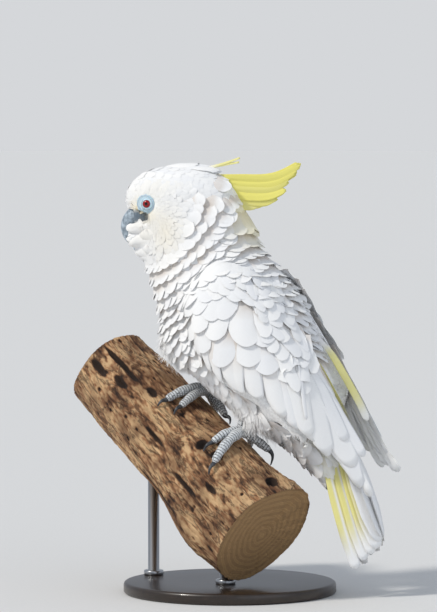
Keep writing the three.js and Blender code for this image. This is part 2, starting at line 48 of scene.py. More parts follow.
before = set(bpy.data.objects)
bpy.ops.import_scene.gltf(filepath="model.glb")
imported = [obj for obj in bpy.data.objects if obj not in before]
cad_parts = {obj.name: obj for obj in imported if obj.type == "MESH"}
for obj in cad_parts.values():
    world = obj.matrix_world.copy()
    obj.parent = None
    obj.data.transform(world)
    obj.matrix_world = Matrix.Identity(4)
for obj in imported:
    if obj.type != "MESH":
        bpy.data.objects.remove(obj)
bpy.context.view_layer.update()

MM = 0.001
TAU = 2 * math.pi
SIDES = {"left": -1, "right": 1}  # factors along Y
UP = np.array([0.0, 0.0, 1.0])
ACROSS = np.array([0.0, 1.0, 0.0])

# ------------------------------------------------------------------ sizes shared with the solids

HEAD_TURN = math.radians(10)
TURN_AXIS_X = -25
TURN_Z = (300, 385)  # the neck's twist grows between these heights
EYE_AT = (-85, 25, 409.5)  # before the turn
EYE_RADIUS = 6.2
RING_BACK = 3.8  # how far the bare ring reaches back past the eye's middle
WING_TOP = np.array([-30.0, 318.0])  # shoulder, side view
WING_TIP = np.array([155.0, 115.0])
RIGHT_WING_LIFT = (16.0, 15.0)  # back and up, at the wing's tip
RIGHT_TIP_PULL = 8.0  # the raised wing's tip lies a little further forward than the rest
TAIL_ROOT = np.array([132.0, 0.0, 160.0])
TAIL_TIP = np.array([167.0, 0.0, 62.0])
LOG_POINT = np.array([-13.0, -17.0, 118.0])
LOG_DIRECTION = np.array([0.712, -0.409, -0.571])
LOG_DIRECTION /= np.linalg.norm(LOG_DIRECTION)
LOG_ENDS = (-195, 88)
LOG_RADII = (45, 50, 52, 57, 58)  # evenly spaced from end to end
SWELLINGS = ((76, -32, 5, 24, 35), (34, 148, 6, 36, 50))  # along, degrees, height, length, spread
FEET = {
    "left": {"along": -5, "angle": -11, "ankle": (23, -25, 184), "hip": (78, -40, 200)},
    "right": {"along": -86, "angle": -32, "ankle": (-31, 29, 218), "hip": (18, 44, 236)},
}
SOLE_TO_FOOT = 9
TOES = {  # along, turn in degrees, radius, lift
    "left": {
        "inner": (4, 41, 5.4, 0), "middle": (27, 54, 5.8, 0), "outer": (25, -22, 5.4, 7), "hallux": (-8, -38, 5, 0),
    },
    "right": {
        "inner": (19, 57, 5.4, 0), "middle": (2, 64, 5.8, 0), "outer": (40, 4, 5.4, 0), "hallux": (6, -38, 5, 0),
    },
}

# ------------------------------------------------------------------ small mathematics


def smoothstep(x, low, high):
    """0 below low, 1 above high, smooth between."""
    t = np.clip((np.asarray(x, float) - low) / (high - low), 0, 1)
    return t * t * (3 - 2 * t)


def mix(a, b, share):
    """Between a and b."""
    return a + (b - a) * share


def bell(*offsets):
    """1 where every offset is 0, falling off smoothly over a unit or two."""
    return np.exp(-sum(offset**2 for offset in offsets))


def unit(v):
    """Vectors of length 1 along the last axis."""
    v = np.asarray(v, float)
    return v / np.maximum(np.linalg.norm(v, axis=-1, keepdims=True), 1e-9)


def across_from(way, normal):
    """Directions square to the normals, as near as can be to the way."""
    return unit(way - (way * normal).sum(-1, keepdims=True) * normal)


def wrapped(angle, degrees):
    """Angles counted from a turn in degrees, in radians from -pi to pi."""
    away = angle - math.radians(degrees)
    return np.arctan2(np.sin(away), np.cos(away))


def circle(sides):
    """Angles evenly round a circle."""
    return np.linspace(0, TAU, sides, endpoint=False)


def turned(points, way=1):
    """Turns points with the head (way 1), or back out of its turn (way -1)."""
    p = np.array(points, float)
    angle = way * HEAD_TURN * smoothstep(p[..., 2], *TURN_Z)
    x = p[..., 0] - TURN_AXIS_X
    y = p[..., 1].copy()
    p[..., 0] = TURN_AXIS_X + x * np.cos(angle) - y * np.sin(angle)
    p[..., 1] = x * np.sin(angle) + y * np.cos(angle)
    return p


def hashed(i, seed):
    """A fixed scatter of values from 0 to 1 over a grid of whole numbers."""
    n = i[..., 0] * 374761393 + i[..., 1] * 668265263 + i[..., 2] * 974634777 + seed * 362437
    n = (n ^ (n >> 13)) * 1274126177 & 0xFFFFFFFF
    return ((n ^ (n >> 16)) & 0xFFFF) / 65535.0


def noise(p, seed=0, octaves=1):
    """Smooth noise from -1 to 1 at points p, its largest lumps one unit across."""
    total, size, weight = 0.0, 1.0, 0.0
    for octave in range(octaves):
        q = np.asarray(p, float) / size
        low = np.floor(q).astype(np.int64)
        f = q - low
        f = f * f * (3 - 2 * f)
        value = 0.0
        for corner in np.ndindex(2, 2, 2):
            share = np.prod(np.where(corner, f, 1 - f), axis=-1)
            value = value + share * hashed(low + np.array(corner), seed + octave)
        total = total + (2 * value - 1) * size
        weight += size
        size /= 2
    return total / weight


def smooth_line(knots, count):
    """Evenly shared points of a smooth curve through the knots (Catmull-Rom)."""
    k = np.array(knots, float)
    k = np.vstack([2 * k[0] - k[1], k, 2 * k[-1] - k[-2]])
    spot = np.linspace(0, len(k) - 3, count)
    i = np.minimum(spot.astype(int), len(k) - 4)
    t = (spot - i)[:, None]
    a, b, c, d = k[i], k[i + 1], k[i + 2], k[i + 3]
    return 0.5 * (2 * b + (c - a) * t + (2 * a - 5 * b + 4 * c - d) * t**2 + (3 * b - a - 3 * c + d) * t**3)


def blunt(share, start=0.25, end=0.25):
    """Round at both ends: 0 at each end of the share, 1 over most of its length."""
    rise = np.minimum(1, share / start)
    fall = np.minimum(1, (1 - share) / end)
    return np.sqrt(np.maximum(0, 1 - (1 - rise) ** 2)) * np.sqrt(np.maximum(0, 1 - (1 - fall) ** 2))


# ------------------------------------------------------------------ meshes from arrays


def mesh_object(name, points, quads, material, uvs=None, values=None):
    """An object from points in millimetres and four-cornered faces (a face may repeat its last corner)."""
    points = np.asarray(points, float).reshape(-1, 3)
    quads = np.asarray(quads, np.int32).reshape(-1, 4)
    mesh = bpy.data.meshes.new(name)
    mesh.vertices.add(len(points))
    mesh.vertices.foreach_set("co", (points * MM).ravel())
    three = quads[:, 3] == quads[:, 2]
    keep = np.ones_like(quads, bool)
    keep[:, 3] = ~three
    loops = quads[keep]
    mesh.loops.add(len(loops))
    mesh.loops.foreach_set("vertex_index", loops)
    mesh.polygons.add(len(quads))
    starts = np.concatenate([[0], np.cumsum(np.where(three, 3, 4))[:-1]])
    mesh.polygons.foreach_set("loop_start", starts.astype(np.int32))
    mesh.polygons.foreach_set("use_smooth", np.ones(len(quads), bool))
    mesh.update(calc_edges=True)
    for uv_name, uv in (uvs or {}).items():
        layer = mesh.uv_layers.new(name=uv_name)
        layer.data.foreach_set("uv", np.asarray(uv, np.float32).reshape(-1, 2)[loops].ravel())
    for value_name, value in (values or {}).items():
        attribute = mesh.attributes.new(value_name, "FLOAT", "POINT")
        attribute.data.foreach_set("value", np.asarray(value, np.float32).ravel())
    mesh.materials.append(material)
    made_object = bpy.data.objects.new(name, mesh)
    bpy.context.scene.collection.objects.link(made_object)
    return made_object


def mesh_piece(name, points, quads, material, slot, replaces=(), uvs=None, values=None):
    """A piece of the model that shows in place of CAD nodes. The slot argument is not used."""
    piece = mesh_object(name, points, quads, material, uvs, values)
    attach(piece, "root")
    if replaces:
        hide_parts(*replaces)
    return piece


def grid_faces(rows, columns, closed=False):
    """Faces of a grid of points with rows x columns points; closed joins the last column to the first."""
    i = np.arange(rows - 1)[:, None] * columns
    j = np.arange(columns if closed else columns - 1)[None, :]
    k = (j + 1) % columns
    return np.stack([i + j, i + k, i + columns + k, i + columns + j], -1).reshape(-1, 4)


def repeated(faces, count, step):
    """Faces of count like bodies whose points follow each other, step points apart."""
    return (faces[None] + (np.arange(count) * step)[:, None, None]).reshape(-1, 4)


def two_sided(rows, columns, count=1):
    """Faces of thin closed bodies: the grids of their tops, those of their undersides, whose points come
    after the points of all the tops, and the rims between them."""
    right = np.arange(1, rows) * columns + columns - 1
    bottom = (rows - 1) * columns + np.arange(columns - 2, -1, -1)
    rim = np.concatenate([np.arange(columns), right, bottom, np.arange(rows - 2, 0, -1) * columns])
    ahead = np.roll(rim, -1)
    size = rows * columns
    total = count * size
    top = repeated(grid_faces(rows, columns), count, size)
    edge = repeated(np.stack([rim, rim + total, ahead + total, ahead], 1), count, size)
    return np.vstack([top, top[:, ::-1] + total, edge])


def tube(rings):
    """Points and faces of a closed body through rings, rows x sides x 3, with a cap point at each end."""
    rows, sides = rings.shape[:2]
    points = np.vstack([rings.reshape(-1, 3), rings[0].mean(0), rings[-1].mean(0)])
    body = grid_faces(rows, sides, closed=True)
    k = np.arange(sides)
    n = (k + 1) % sides
    first = np.stack([np.full(sides, rows * sides), n, k, k], -1)
    last = (rows - 1) * sides
    end = np.stack([np.full(sides, rows * sides + 1), last + k, last + n, last + n], -1)
    return points, np.vstack([body, first, end])


def swept(line, across, half_across, half_thick, sides, relief=None):
    """Rings of a body swept along a line; half_across runs along "across". relief(share, angle) adds height."""
    line = np.asarray(line, float)
    share = np.linspace(0, 1, len(line))
    tangent = unit(np.gradient(line, axis=0))
    side = unit(across - tangent * (tangent @ across)[:, None])
    up = np.cross(tangent, side)
    angle = circle(sides)
    a = np.asarray(half_across(share), float)[:, None]
    b = np.asarray(half_thick(share), float)[:, None]
    if relief:
        extra = relief(share[:, None], angle[None, :])
        a, b = a + extra, b + extra
    out = side[:, None] * (a * np.cos(angle))[..., None]
    return line[:, None] + out + up[:, None] * (b * np.sin(angle))[..., None]


def lathed(profile, angle, centre=(0.0, 0.0)):
    """Rings of a body turned about an upright axis, from (radius, height) pairs."""
    radius, height = (np.array(profile, float)[:, k : k + 1] for k in (0, 1))
    x, y = centre[0] + radius * np.cos(angle), centre[1] + radius * np.sin(angle)
    return np.stack([x, y, np.repeat(height, len(angle), 1)], -1)


def joined(parts):
    """Points and faces of several bodies as one."""
    points, faces, start = [], [], 0
    for p, f in parts:
        points.append(np.asarray(p).reshape(-1, 3))
        faces.append(np.asarray(f) + start)
        start += len(points[-1])
    return np.vstack(points), np.vstack(faces)


# ------------------------------------------------------------------ materials


def linear(hex_colour):
    """An sRGB hex colour as linear red, green and blue."""
    value = hex_colour.lstrip("#")
    srgb = np.array([int(value[i : i + 2], 16) / 255 for i in (0, 2, 4)])
    return tuple(np.where(srgb <= 0.04045, srgb / 12.92, ((srgb + 0.055) / 1.055) ** 2.4))


def rgba(colour, share=1.0):
    """A linear colour with alpha, times a share: one number, or one each for red, green and blue."""
    return (*np.minimum(1, np.array(tuple(colour)[:3]) * share), 1.0)


def add_node(tree, kind, inputs=None, stops=(), **settings):
    """Adds a node and gives its outputs. inputs maps a socket to its value or to the output that feeds it,
    stops are the places and colours of a ramp, and settings are the node's properties."""
    node = tree.nodes.new("ShaderNode" + kind)
    for name, value in settings.items():
        setattr(node, name, value)
    for socket, value in (inputs or {}).items():
        if isinstance(value, bpy.types.NodeSocket):
            tree.links.new(value, node.inputs[socket])
        else:
            node.inputs[socket].default_value = value
    while stops and len(node.color_ramp.elements) < len(stops):
        node.color_ramp.elements.new(0.5)
    for number, (place, colour) in enumerate(stops):
        element = node.color_ramp.elements[number]
        element.position, element.color = place, colour
    return node.outputs


def node_adder(owner):
    """Empties the node tree of a material or world and gives the function that adds a node to it."""
    owner.use_nodes = True
    owner.node_tree.nodes.clear()
    return functools.partial(add_node, owner.node_tree)


def new_material(name):
    """An empty material and the function that adds a node to it."""
    material = bpy.data.materials.new(name)
    return material, node_adder(material)


def finish_material(add, base, height=None, strength=0.0, depth=0.0, **looks):
    """The shader over a base colour, with bump of that depth in millimetres, joined to the output. Words
    in the names of looks are joined by underscores."""
    inputs = {"Base Color": base, **{name.replace("_", " "): value for name, value in looks.items()}}
    if height is not None:
        inputs["Normal"] = add("Bump", {"Height": height, "Strength": strength, "Distance": depth * MM})[0]
    add("OutputMaterial", {"Surface": add("BsdfPrincipled", inputs)[0]})


# ------------------------------------------------------------------ what a user would change


def length(name, description, default_mm):
    """A length property whose default is given in millimetres."""
    return bpy.props.FloatProperty(
        name=name, description=description, default=default_mm * MM, min=0.0, unit="LENGTH"
    )


def colour(name, description, hex_colour):
    """A colour property whose default is an sRGB hex value."""
    return bpy.props.FloatVectorProperty(
        name=name, description=description, default=linear(hex_colour), size=3, subtype="COLOR", min=0, max=1
    )


class PlumageSettings(bpy.types.PropertyGroup):
    """Sizes and colours of the feathers."""

    coat_depth: length("Coat depth", "How far the skin lies inside the tips of the body feathers", 4.0)
    neck_band: length("Neck band", "Distance between two rows of neck feathers", 11.0)
    neck_width: length("Neck feather width", "Width of a neck feather", 21.0)
    breast_band: length("Breast band", "Distance between two rows of breast feathers", 9.0)
    breast_width: length("Breast feather width", "Width of a breast feather", 15.0)
    face_band: length("Face band", "Distance between two rows of face feathers", 3.4)
    white: colour("White", "Colour of the open feather vanes", "#F9F9F8")
    # shade is painted shade: the parts of vanes that lie under others are darkened to this colour
    shade: colour("Shade", "Warm stain where feathers lie in the shadow of others", "#B79C7E")
    yellow: colour("Yellow", "Lemon yellow of the crest and the inner webs", "#EDE572")
    # buff also colours the painted shade of the nape
    buff: colour("Buff", "Cream tint of the lore and cheek", "#EFDDA8")


class BarePartSettings(bpy.types.PropertyGroup):
    """Colours of the bill, eyes and feet."""

    bill: colour("Bill", "Slate grey of the bill under its powder", "#76838F")
    powder: colour("Powder", "Pale feather powder on the bill", "#B4C3CF")
    ring: colour("Eye ring", "Bare pale-blue skin round the eye", "#C3D8E2")
    iris: colour("Iris", "Red-brown iris", "#B4141A")
    scute: colour("Scutes", "Pale scales of the feet", "#D6DADD")
    gap: colour("Scute gaps", "Dark skin between the scales", "#33373C")
    claw: colour("Claw", "Claw horn", "#23262A")


class PerchSettings(bpy.types.PropertyGroup):
    """Sizes and colours of the log."""

    relief: length("Relief", "Depth of the weathered grain", 1.6)
    # light_wood and dark_wood follow the log's relief: painted highlight on the ridges and painted shade in the
    # hollows, over the wood's own tone
    light_wood: colour("Light wood", "Sun-bleached ridges of the grain", "#E0B98A")
    mid_wood: colour("Mid wood", "Weathered wood", "#B28159")
    dark_wood: colour("Dark wood", "Hollows and cracks", "#3A281B")


class StandSettings(bpy.types.PropertyGroup):
    """Colours of the display stand."""

    wood: colour("Base wood", "Dark stained wood of the base", "#2E2219")
    steel: colour("Rod steel", "Brushed steel of the rods", "#B9BBBE")


class StudioSettings(bpy.types.PropertyGroup):
    """Floor and camera."""

    floor: colour("Floor", "Plain pale floor", "#E0E0DF")
    distance: length("Camera distance", "From the camera to its target", 4000)
    frame_height: length("Frame height", "Height that the picture shows at the target", 642.6)


SETTINGS = {
    "plumage": PlumageSettings,
    "bare_parts": BarePartSettings,
    "perch": PerchSettings,
    "stand": StandSettings,
    "studio": StudioSettings,
}


def settings(group):
    """The scene's property group of that name."""
    return getattr(bpy.context.scene, "cockatoo_" + group)


def mm(group, name):
    """A length property in millimetres."""
    return getattr(settings(group), name) / MM


# ------------------------------------------------------------------ skin

FLESH = ("head", "neck", "trunk", "thigh_left", "thigh_right", "wing_left", "wing_right")
SKIN_VOXEL = 3.0
surfaces = {}  # the surfaces that feathers are laid on, made by the skin operator


class Surface:
    """A closed shape that feathers are laid on: nearest points, and its unwrap for the OFBake map."""

    def __init__(self, points, triangles, uv=None):
        self.points = np.asarray(points, float)
        self.triangles = np.asarray(triangles, np.int64)
        self.uv = uv
        corners = self.points[self.triangles]
        cross = np.cross(corners[:, 1] - corners[:, 0], corners[:, 2] - corners[:, 0])
        self.normals = np.zeros_like(self.points)
        for k in range(3):
            np.add.at(self.normals, self.triangles[:, k], cross)
        self.normals = unit(self.normals)
        self.tree = BVHTree.FromPolygons(self.points.tolist(), self.triangles.tolist())

    def nearest(self, points):
        """Closest points on the surface, smooth normals there, triangle numbers and corner weights."""
        points = np.asarray(points, float)
        found = [self.tree.find_nearest(p) for p in points.reshape(-1, 3).tolist()]
        place = np.array([f[0] for f in found])
        face = np.array([f[2] for f in found])
        weights = self.weights(place, face)
        normal = unit((self.normals[self.triangles[face]] * weights[..., None]).sum(1))
        return place.reshape(points.shape), normal.reshape(points.shape), face, weights

    def weights(self, place, face):
        """Barycentric weights of places on their triangles."""
        a, b, c = (self.points[self.triangles[face, k]] for k in range(3))
        e, f, g = b - a, c - a, place - a
        ee, ef, ff = (e * e).sum(1), (e * f).sum(1), (f * f).sum(1)
        ge, gf = (g * e).sum(1), (g * f).sum(1)
        area = np.maximum(ee * ff - ef * ef, 1e-9)
        v = np.clip((ff * ge - ef * gf) / area, 0, 1)
        w = np.clip((ee * gf - ef * ge) / area, 0, 1)
        return np.stack([np.clip(1 - v - w, 0, 1), v, w], 1)

    def cast(self, origins, direction):
        """First hits of rays; a ray that misses gives its origin."""
        ray = Vector(direction)
        starts = np.asarray(origins, float).tolist()
        hits = [self.tree.ray_cast(start, ray)[0] for start in starts]
        return np.array([start if hit is None else hit for start, hit in zip(starts, hits)], float)

    def distance(self, points):
        """Distances to the surface."""
        return np.array([self.tree.find_nearest(p)[3] for p in np.asarray(points, float).tolist()])


def mesh_arrays(obj):
    """Points in millimetres and triangles of a mesh object."""
    mesh = obj.data
    mesh.calc_loop_triangles()
    points = np.zeros(len(mesh.vertices) * 3)
    mesh.vertices.foreach_get("co", points)
    triangles = np.zeros(len(mesh.loop_triangles) * 3, np.int32)
    mesh.loop_triangles.foreach_get("vertices", triangles)
    return points.reshape(-1, 3) / MM, triangles.reshape(-1, 3)


def node_surface(*names):
    """The solids of these CAD nodes as one surface."""
    return Surface(*joined([mesh_arrays(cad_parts[name]) for name in names]))


def unwrapped(roots):
    """Places of roots on the unwrap of the skin."""
    skin = surfaces["skin"]
    _, _, face, weights = skin.nearest(roots)
    return (skin.uv[face] * weights[..., None]).sum(1)


def gape(p):
    """1 where the side of the bill shows between the brow and the lobes of the cheek; p without the turn."""
    x, z = p[..., 0], p[..., 2]
    return smoothstep(x, -84, -90) * smoothstep(z, 388.5, 392) * smoothstep(z, 403.5, 400.5 - 0.1 * (x + 100))


def coat_depth_at(points):
    """How deep the skin lies under the tips of the coat: shallow on the face, deeper at the vent."""
    p = turned(points, -1)
    face = smoothstep(p[..., 2], 335, 380)
    vent = smoothstep(p[..., 2], 200, 150)
    return mm("plumage", "coat_depth") * (1 - 0.5 * face + 0.3 * vent) + 10.0 * gape(p)


def markings(points):
    """Yellow and buff of the plumage at points, with a painted shade of the nape in these colours: the same for the
    skin and for the feathers.
    """
    p = turned(points, -1)
    x, y, z = p[..., 0], np.abs(p[..., 1]), p[..., 2]
    lore = bell((x + 92) / 11, (z - 402) / 9) * smoothstep(y, 8, 18)
    cheek = bell((x + 68) / 14, (z - 384) / 20) * smoothstep(y, 10, 24)
    brow = bell((x + 80) / 16, (z - 421) / 6) * smoothstep(y, 8, 18)
    # painted shade: the nape behind the crest gets a yellowish buff, for the shade it lies in
    nape = bell((x - 14) / 13, (z - 400) / 17)
    vent = smoothstep(x, 75, 110) * smoothstep(z, 175, 140)
    buff = np.clip(0.75 * lore + 0.3 * cheek + 0.12 * brow + 0.4 * nape, 0, 1)
    return 0.16 * nape + 0.3 * vent, buff


def smoothed(points, edges, rounds=14):
    """Points evened out between their neighbours, with no loss of volume."""
    degree = np.bincount(edges.ravel(), minlength=len(points))[:, None]
    for step in range(rounds):
        around = np.zeros_like(points)
        np.add.at(around, edges[:, 0], points[edges[:, 1]])
        np.add.at(around, edges[:, 1], points[edges[:, 0]])
        points = points + (0.55 if step % 2 == 0 else -0.5) * (around / degree - points)
    return points


def make_skin(material):
    """One closed skin over head, neck, trunk, thighs and wings, inside the solids by the coat's depth."""
    points, triangles = joined([mesh_arrays(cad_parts[name]) for name in FLESH])
    quads = np.hstack([triangles, triangles[:, 2:]])
    skin = mesh_piece("skin", points, quads, material, "plumage", replaces=FLESH)
    remesh = skin.modifiers.new("Remesh", "REMESH")
    remesh.mode = "VOXEL"
    remesh.voxel_size = SKIN_VOXEL * MM
    evaluated = skin.evaluated_get(bpy.context.evaluated_depsgraph_get())
    skin.data = mesh = bpy.data.meshes.new_from_object(evaluated)
    skin.modifiers.clear()
    mesh.materials.clear()
    mesh.materials.append(material)
    points, triangles = mesh_arrays(skin)
    edges = np.zeros(len(mesh.edges) * 2, np.int32)
    mesh.edges.foreach_get("vertices", edges)
    edges = edges.reshape(-1, 2)
    points = smoothed(points, edges)
    points = points - Surface(points, triangles).normals * coat_depth_at(points)[:, None]
    mesh.vertices.foreach_set("co", (points * MM).ravel())
    mesh.polygons.foreach_set("use_smooth", np.ones(len(mesh.polygons), bool))
    mesh.update()
    bpy.context.view_layer.objects.active = skin
    skin.select_set(True)
    bpy.ops.object.mode_set(mode="EDIT")
    bpy.ops.mesh.select_all(action="SELECT")
    bpy.ops.uv.smart_project(angle_limit=math.radians(66), island_margin=0.004)
    bpy.ops.object.mode_set(mode="OBJECT")
    layer = mesh.uv_layers[0]
    layer.name = "OFBake"
    uv = np.zeros(len(mesh.loops) * 2, np.float32)
    layer.data.foreach_get("uv", uv)
    mesh.calc_loop_triangles()
    loops = np.zeros(len(mesh.loop_triangles) * 3, np.int32)
    mesh.loop_triangles.foreach_get("loops", loops)
    for name, value in zip(("yellow", "buff", "horn"), (*markings(points), gape(turned(points, -1)))):
        attribute = mesh.attributes.new(name, "FLOAT", "POINT")
        attribute.data.foreach_set("value", value.astype(np.float32))
    surfaces["skin"] = Surface(points, triangles, uv.reshape(-1, 2)[loops.reshape(-1, 3)])
    return edges


# ------------------------------------------------------------------ lie of the coat


def lie_at(points, normals):
    """Which way the feathers point: away from the face on the head and neck, then down the body."""
    p = turned(points, -1)
    x, z = p[..., 0], p[..., 2]
    away = unit(np.stack([x + 84, np.zeros_like(x), z - 404], -1))
    nape = (smoothstep(x, -45, 5) * smoothstep(z, 452, 420))[..., None]
    crown = smoothstep(z, 418, 436)[..., None]
    trunk = smoothstep(z, 330, 250)[..., None]
    lower = smoothstep(z, 372, 330)[..., None] * smoothstep(x, -95, -60)[..., None]
    way = mix(away, unit([0.62, 0, -0.78]), lower * 0.85)
    way = mix(way, unit([0.25, 0, -1.0]), nape)
    way = mix(way, np.array([1.0, 0, -0.15]), crown * (1 - nape))
    way = mix(way, unit([0.47, 0, -0.88]), trunk)
    return across_from(way, normals)


def distance_field(surface, edges, rounds=260):
    """Distance along the lie from the bill, in millimetres: the field whose steps over the skin's edges are
    nearest to the lie, by conjugate gradients."""
    p = surface.points
    way = lie_at(p, surface.normals)
    a, b = edges[:, 0], edges[:, 1]
    wanted = (((way[a] + way[b]) / 2) * (p[b] - p[a])).sum(1)

    def gathered(steps):
        """What the steps along the edges add at each point, less what they take away."""
        return np.bincount(a, steps, len(p)) - np.bincount(b, steps, len(p))

    f = (p - np.array([-100, 0, 400])) @ np.array([0.5, 0, -0.6])
    r = -gathered(wanted) - gathered(f[a] - f[b])
    d = r.copy()
    rr = r @ r
    for _ in range(rounds):
        ld = gathered(d[a] - d[b])
        step = rr / max(d @ ld, 1e-12)
        f += step * d
        r -= step * ld
        rr, before = r @ r, rr
        d = r + rr / before * d
    front = np.argmin(np.linalg.norm(p - turned(np.array([-98.0, 0, 408])), axis=1))
    return f - f[front]


def level_lines(surface, values, level):
    """Lines over the surface where the values equal the level, as arrays of ordered points."""
    above = values > level
    mixed = above[surface.triangles].sum(1)
    links = {}  # cut edge: the cut edges next to it
    for corners in surface.triangles[(mixed > 0) & (mixed < 3)].tolist():
        pairs = zip(corners, corners[1:] + corners[:1])
        ends = [(min(a, b), max(a, b)) for a, b in pairs if above[a] != above[b]]
        for one, other in (ends, ends[::-1]):
            links.setdefault(one, []).append(other)
    if not links:
        return []
    keys = np.array(list(links))
    share = (level - values[keys[:, 0]]) / (values[keys[:, 1]] - values[keys[:, 0]])
    points = mix(surface.points[keys[:, 0]], surface.points[keys[:, 1]], share[:, None])
    places = dict(zip(links, points))
    lines, seen = [], set()
    for start in links:
        line, onward = [], [start] if start not in seen else []
        while onward:
            line.append(onward[0])
            seen.add(onward[0])
            onward = [key for key in links[onward[0]] if key not in seen]
        if line:
            lines.append(np.array([places[key] for key in line + [start]]))
    return lines


def rows_of_roots(surface, values, start, end, band, width, rng, keep, overlap=0.62):
    """Roots in rows of equal distance from the bill. band(level) is the step to the next row, width(points)
    the feather's width; keep(points) leaves out what belongs to another part of the coat."""
    roots, level, row = [], start, 0
    while level < end:
        for line in level_lines(surface, values, level):
            steps = np.linalg.norm(np.diff(line, axis=0), axis=1)
            if steps.sum() < 6:
                continue
            middle = (line[1:] + line[:-1]) / 2
            run = np.concatenate([[0], np.cumsum(steps / (overlap * width(middle)))])
            count = int(run[-1])
            spots = np.arange(count) + 0.5 * (row % 2) + rng.uniform(-0.16, 0.16, count)
            spots = spots * run[-1] / max(count, 1)
            roots.append(np.stack([np.interp(spots, run, line[:, k]) for k in range(3)], 1))
        level += band(level)
        row += 1
    roots = np.vstack(roots)
    return roots[keep(roots)]


# ------------------------------------------------------------------ feathers

PATCH = 0.003  # side of a feather's patch on the OFBake map
TEN_MM = 0.1  # the Vane and Iris maps count in steps of 10 mm
ROUND = 0.97  # how close the round end of a vane comes to a half circle


def off(base, *moves):
    """Grids of places off each base, by (direction, amounts) pairs."""
    place = base[:, None, None]
    for way, amount in moves:
        place = place + way[:, None, None] * amount[..., None]
    return place


def feather_maps(roots, s, t, aside, along):
    """The OFBake map, a patch for each feather at its root's place, and the Vane map, its own shape."""
    patch = PATCH * np.stack(np.broadcast_arrays(0.5 * t, s - 0.5), -1)
    uv = unwrapped(roots)[:, None, None] + patch
    return {"OFBake": uv, "Vane": np.stack(np.broadcast_arrays(aside, along, uv[..., 0])[:2], -1) * TEN_MM}


def feather_values(shape, yellow, buff, depth, tone):
    """What the feather material reads at each point."""
    # depth is painted shade, which the feather material mixes in
    values = {"yellow": yellow, "buff": buff, "depth": depth, "tone": tone}
    return {name: np.broadcast_to(value, shape) for name, value in values.items()}


def lay_vanes(
    roots, long, wide, surface, rng, way=None, rise=(0.3, 3.4), dome=0.1, rows=6, columns=6, root_width=0.45,
    widest=0.55, taper=0.1, tip=1.0, curl=0.0, ragged=0.0, sway=0.12, lean=0.0, thick=0.0, hidden=0.6, roll=0.05,
    uneven=0.15,
):
    """Vanes laid over a surface from their roots. long and wide are their sizes; rise is the height over the
    surface at root and tip; dome lets the edges drop by a share of the width; tip 1 is round and 0 square;
    curl lifts the end; ragged frays it; sway and roll turn each vane a little, at random, lean all of them;
    hidden is the share of the length that others cover. Sizes and looks may be one number or one for each."""
    count = len(roots)
    per_vane = (long, wide, *rise, dome, curl, ragged, hidden)
    long, wide, low, high, dome, curl, ragged, hidden = (
        np.broadcast_to(v, count).astype(float)[:, None, None] for v in per_vane
    )
    base, normal, _, _ = surface.nearest(roots)
    way = across_from(lie_at(base, normal) if way is None else way, normal)
    way = unit(way + np.cross(normal, way) * (rng.normal(0, 1, count) * sway)[:, None])
    side = np.cross(normal, way)
    s = np.linspace(0, 1, rows + 1)[None, :, None]
    t = np.linspace(-1, 1, columns + 1)[None, None, :]
    half = wide / 2 * mix(root_width, 1, smoothstep(s, 0, widest)) * (1 - taper * s**3)
    fray = rng.normal(0, 1, (count, 1, columns + 1)) * ragged * s**6 * long
    bend = rng.normal(0, 0.05, (count, 1, 1)) * s**2 * long
    along = long * s - tip * half * (1 - np.sqrt(1 - ROUND * t**2)) * s**4 + fray
    aside = half * t + bend
    three = [0, columns // 2, columns]  # the surface is sought under the edges and the shaft
    place, up, _, _ = surface.nearest(off(base, (way, along[:, :, three]), (side, aside[:, :, three])))
    ends = [t * (t - 1) / 2, 1 - t * t, t * (t + 1) / 2]
    place = sum(place[:, :, k : k + 1] * ends[k][..., None] for k in range(3))
    up = unit(sum(up[:, :, k : k + 1] * ends[k][..., None] for k in range(3)))
    height = low + (high - low) * s**0.9 * rng.uniform(1 - uneven, 1 + uneven, (count, 1, 1))
    height = height - dome * wide * t**2 * (0.35 + 0.65 * s) + 0.02 * wide * bell(t / 0.14) * (1 - s)
    height = height + curl * long * np.maximum(0, s - 0.55) ** 2
    height = height + (rng.normal(0, roll, (count, 1, 1)) + lean) * wide * t * 0.5
    points = place + up * height[..., None]
    uvs = feather_maps(roots, s, t, aside, along)
    # painted shade: the part of each vane that others cover is darkened, by the depth value
    shade = (1 - smoothstep(s, hidden - 0.3, hidden + 0.08)) * smoothstep(hidden, 0.05, 0.4)
    yellow, buff = (v[:, None, None] for v in markings(base))
    values = feather_values(along.shape, yellow, buff, shade, rng.uniform(0, 1, count)[:, None, None])
    if not thick:
        faces = repeated(grid_faces(rows + 1, columns + 1), count, (rows + 1) * (columns + 1))
        return points, faces, uvs, values
    under = points - up * (thick * (1 - 0.7 * t**2) * (1 - 0.7 * s))[..., None]
    uvs, values = ({k: np.concatenate([v, v]) for k, v in maps.items()} for maps in (uvs, values))
    return np.concatenate([points, under]), two_sided(rows + 1, columns + 1, count), uvs, values


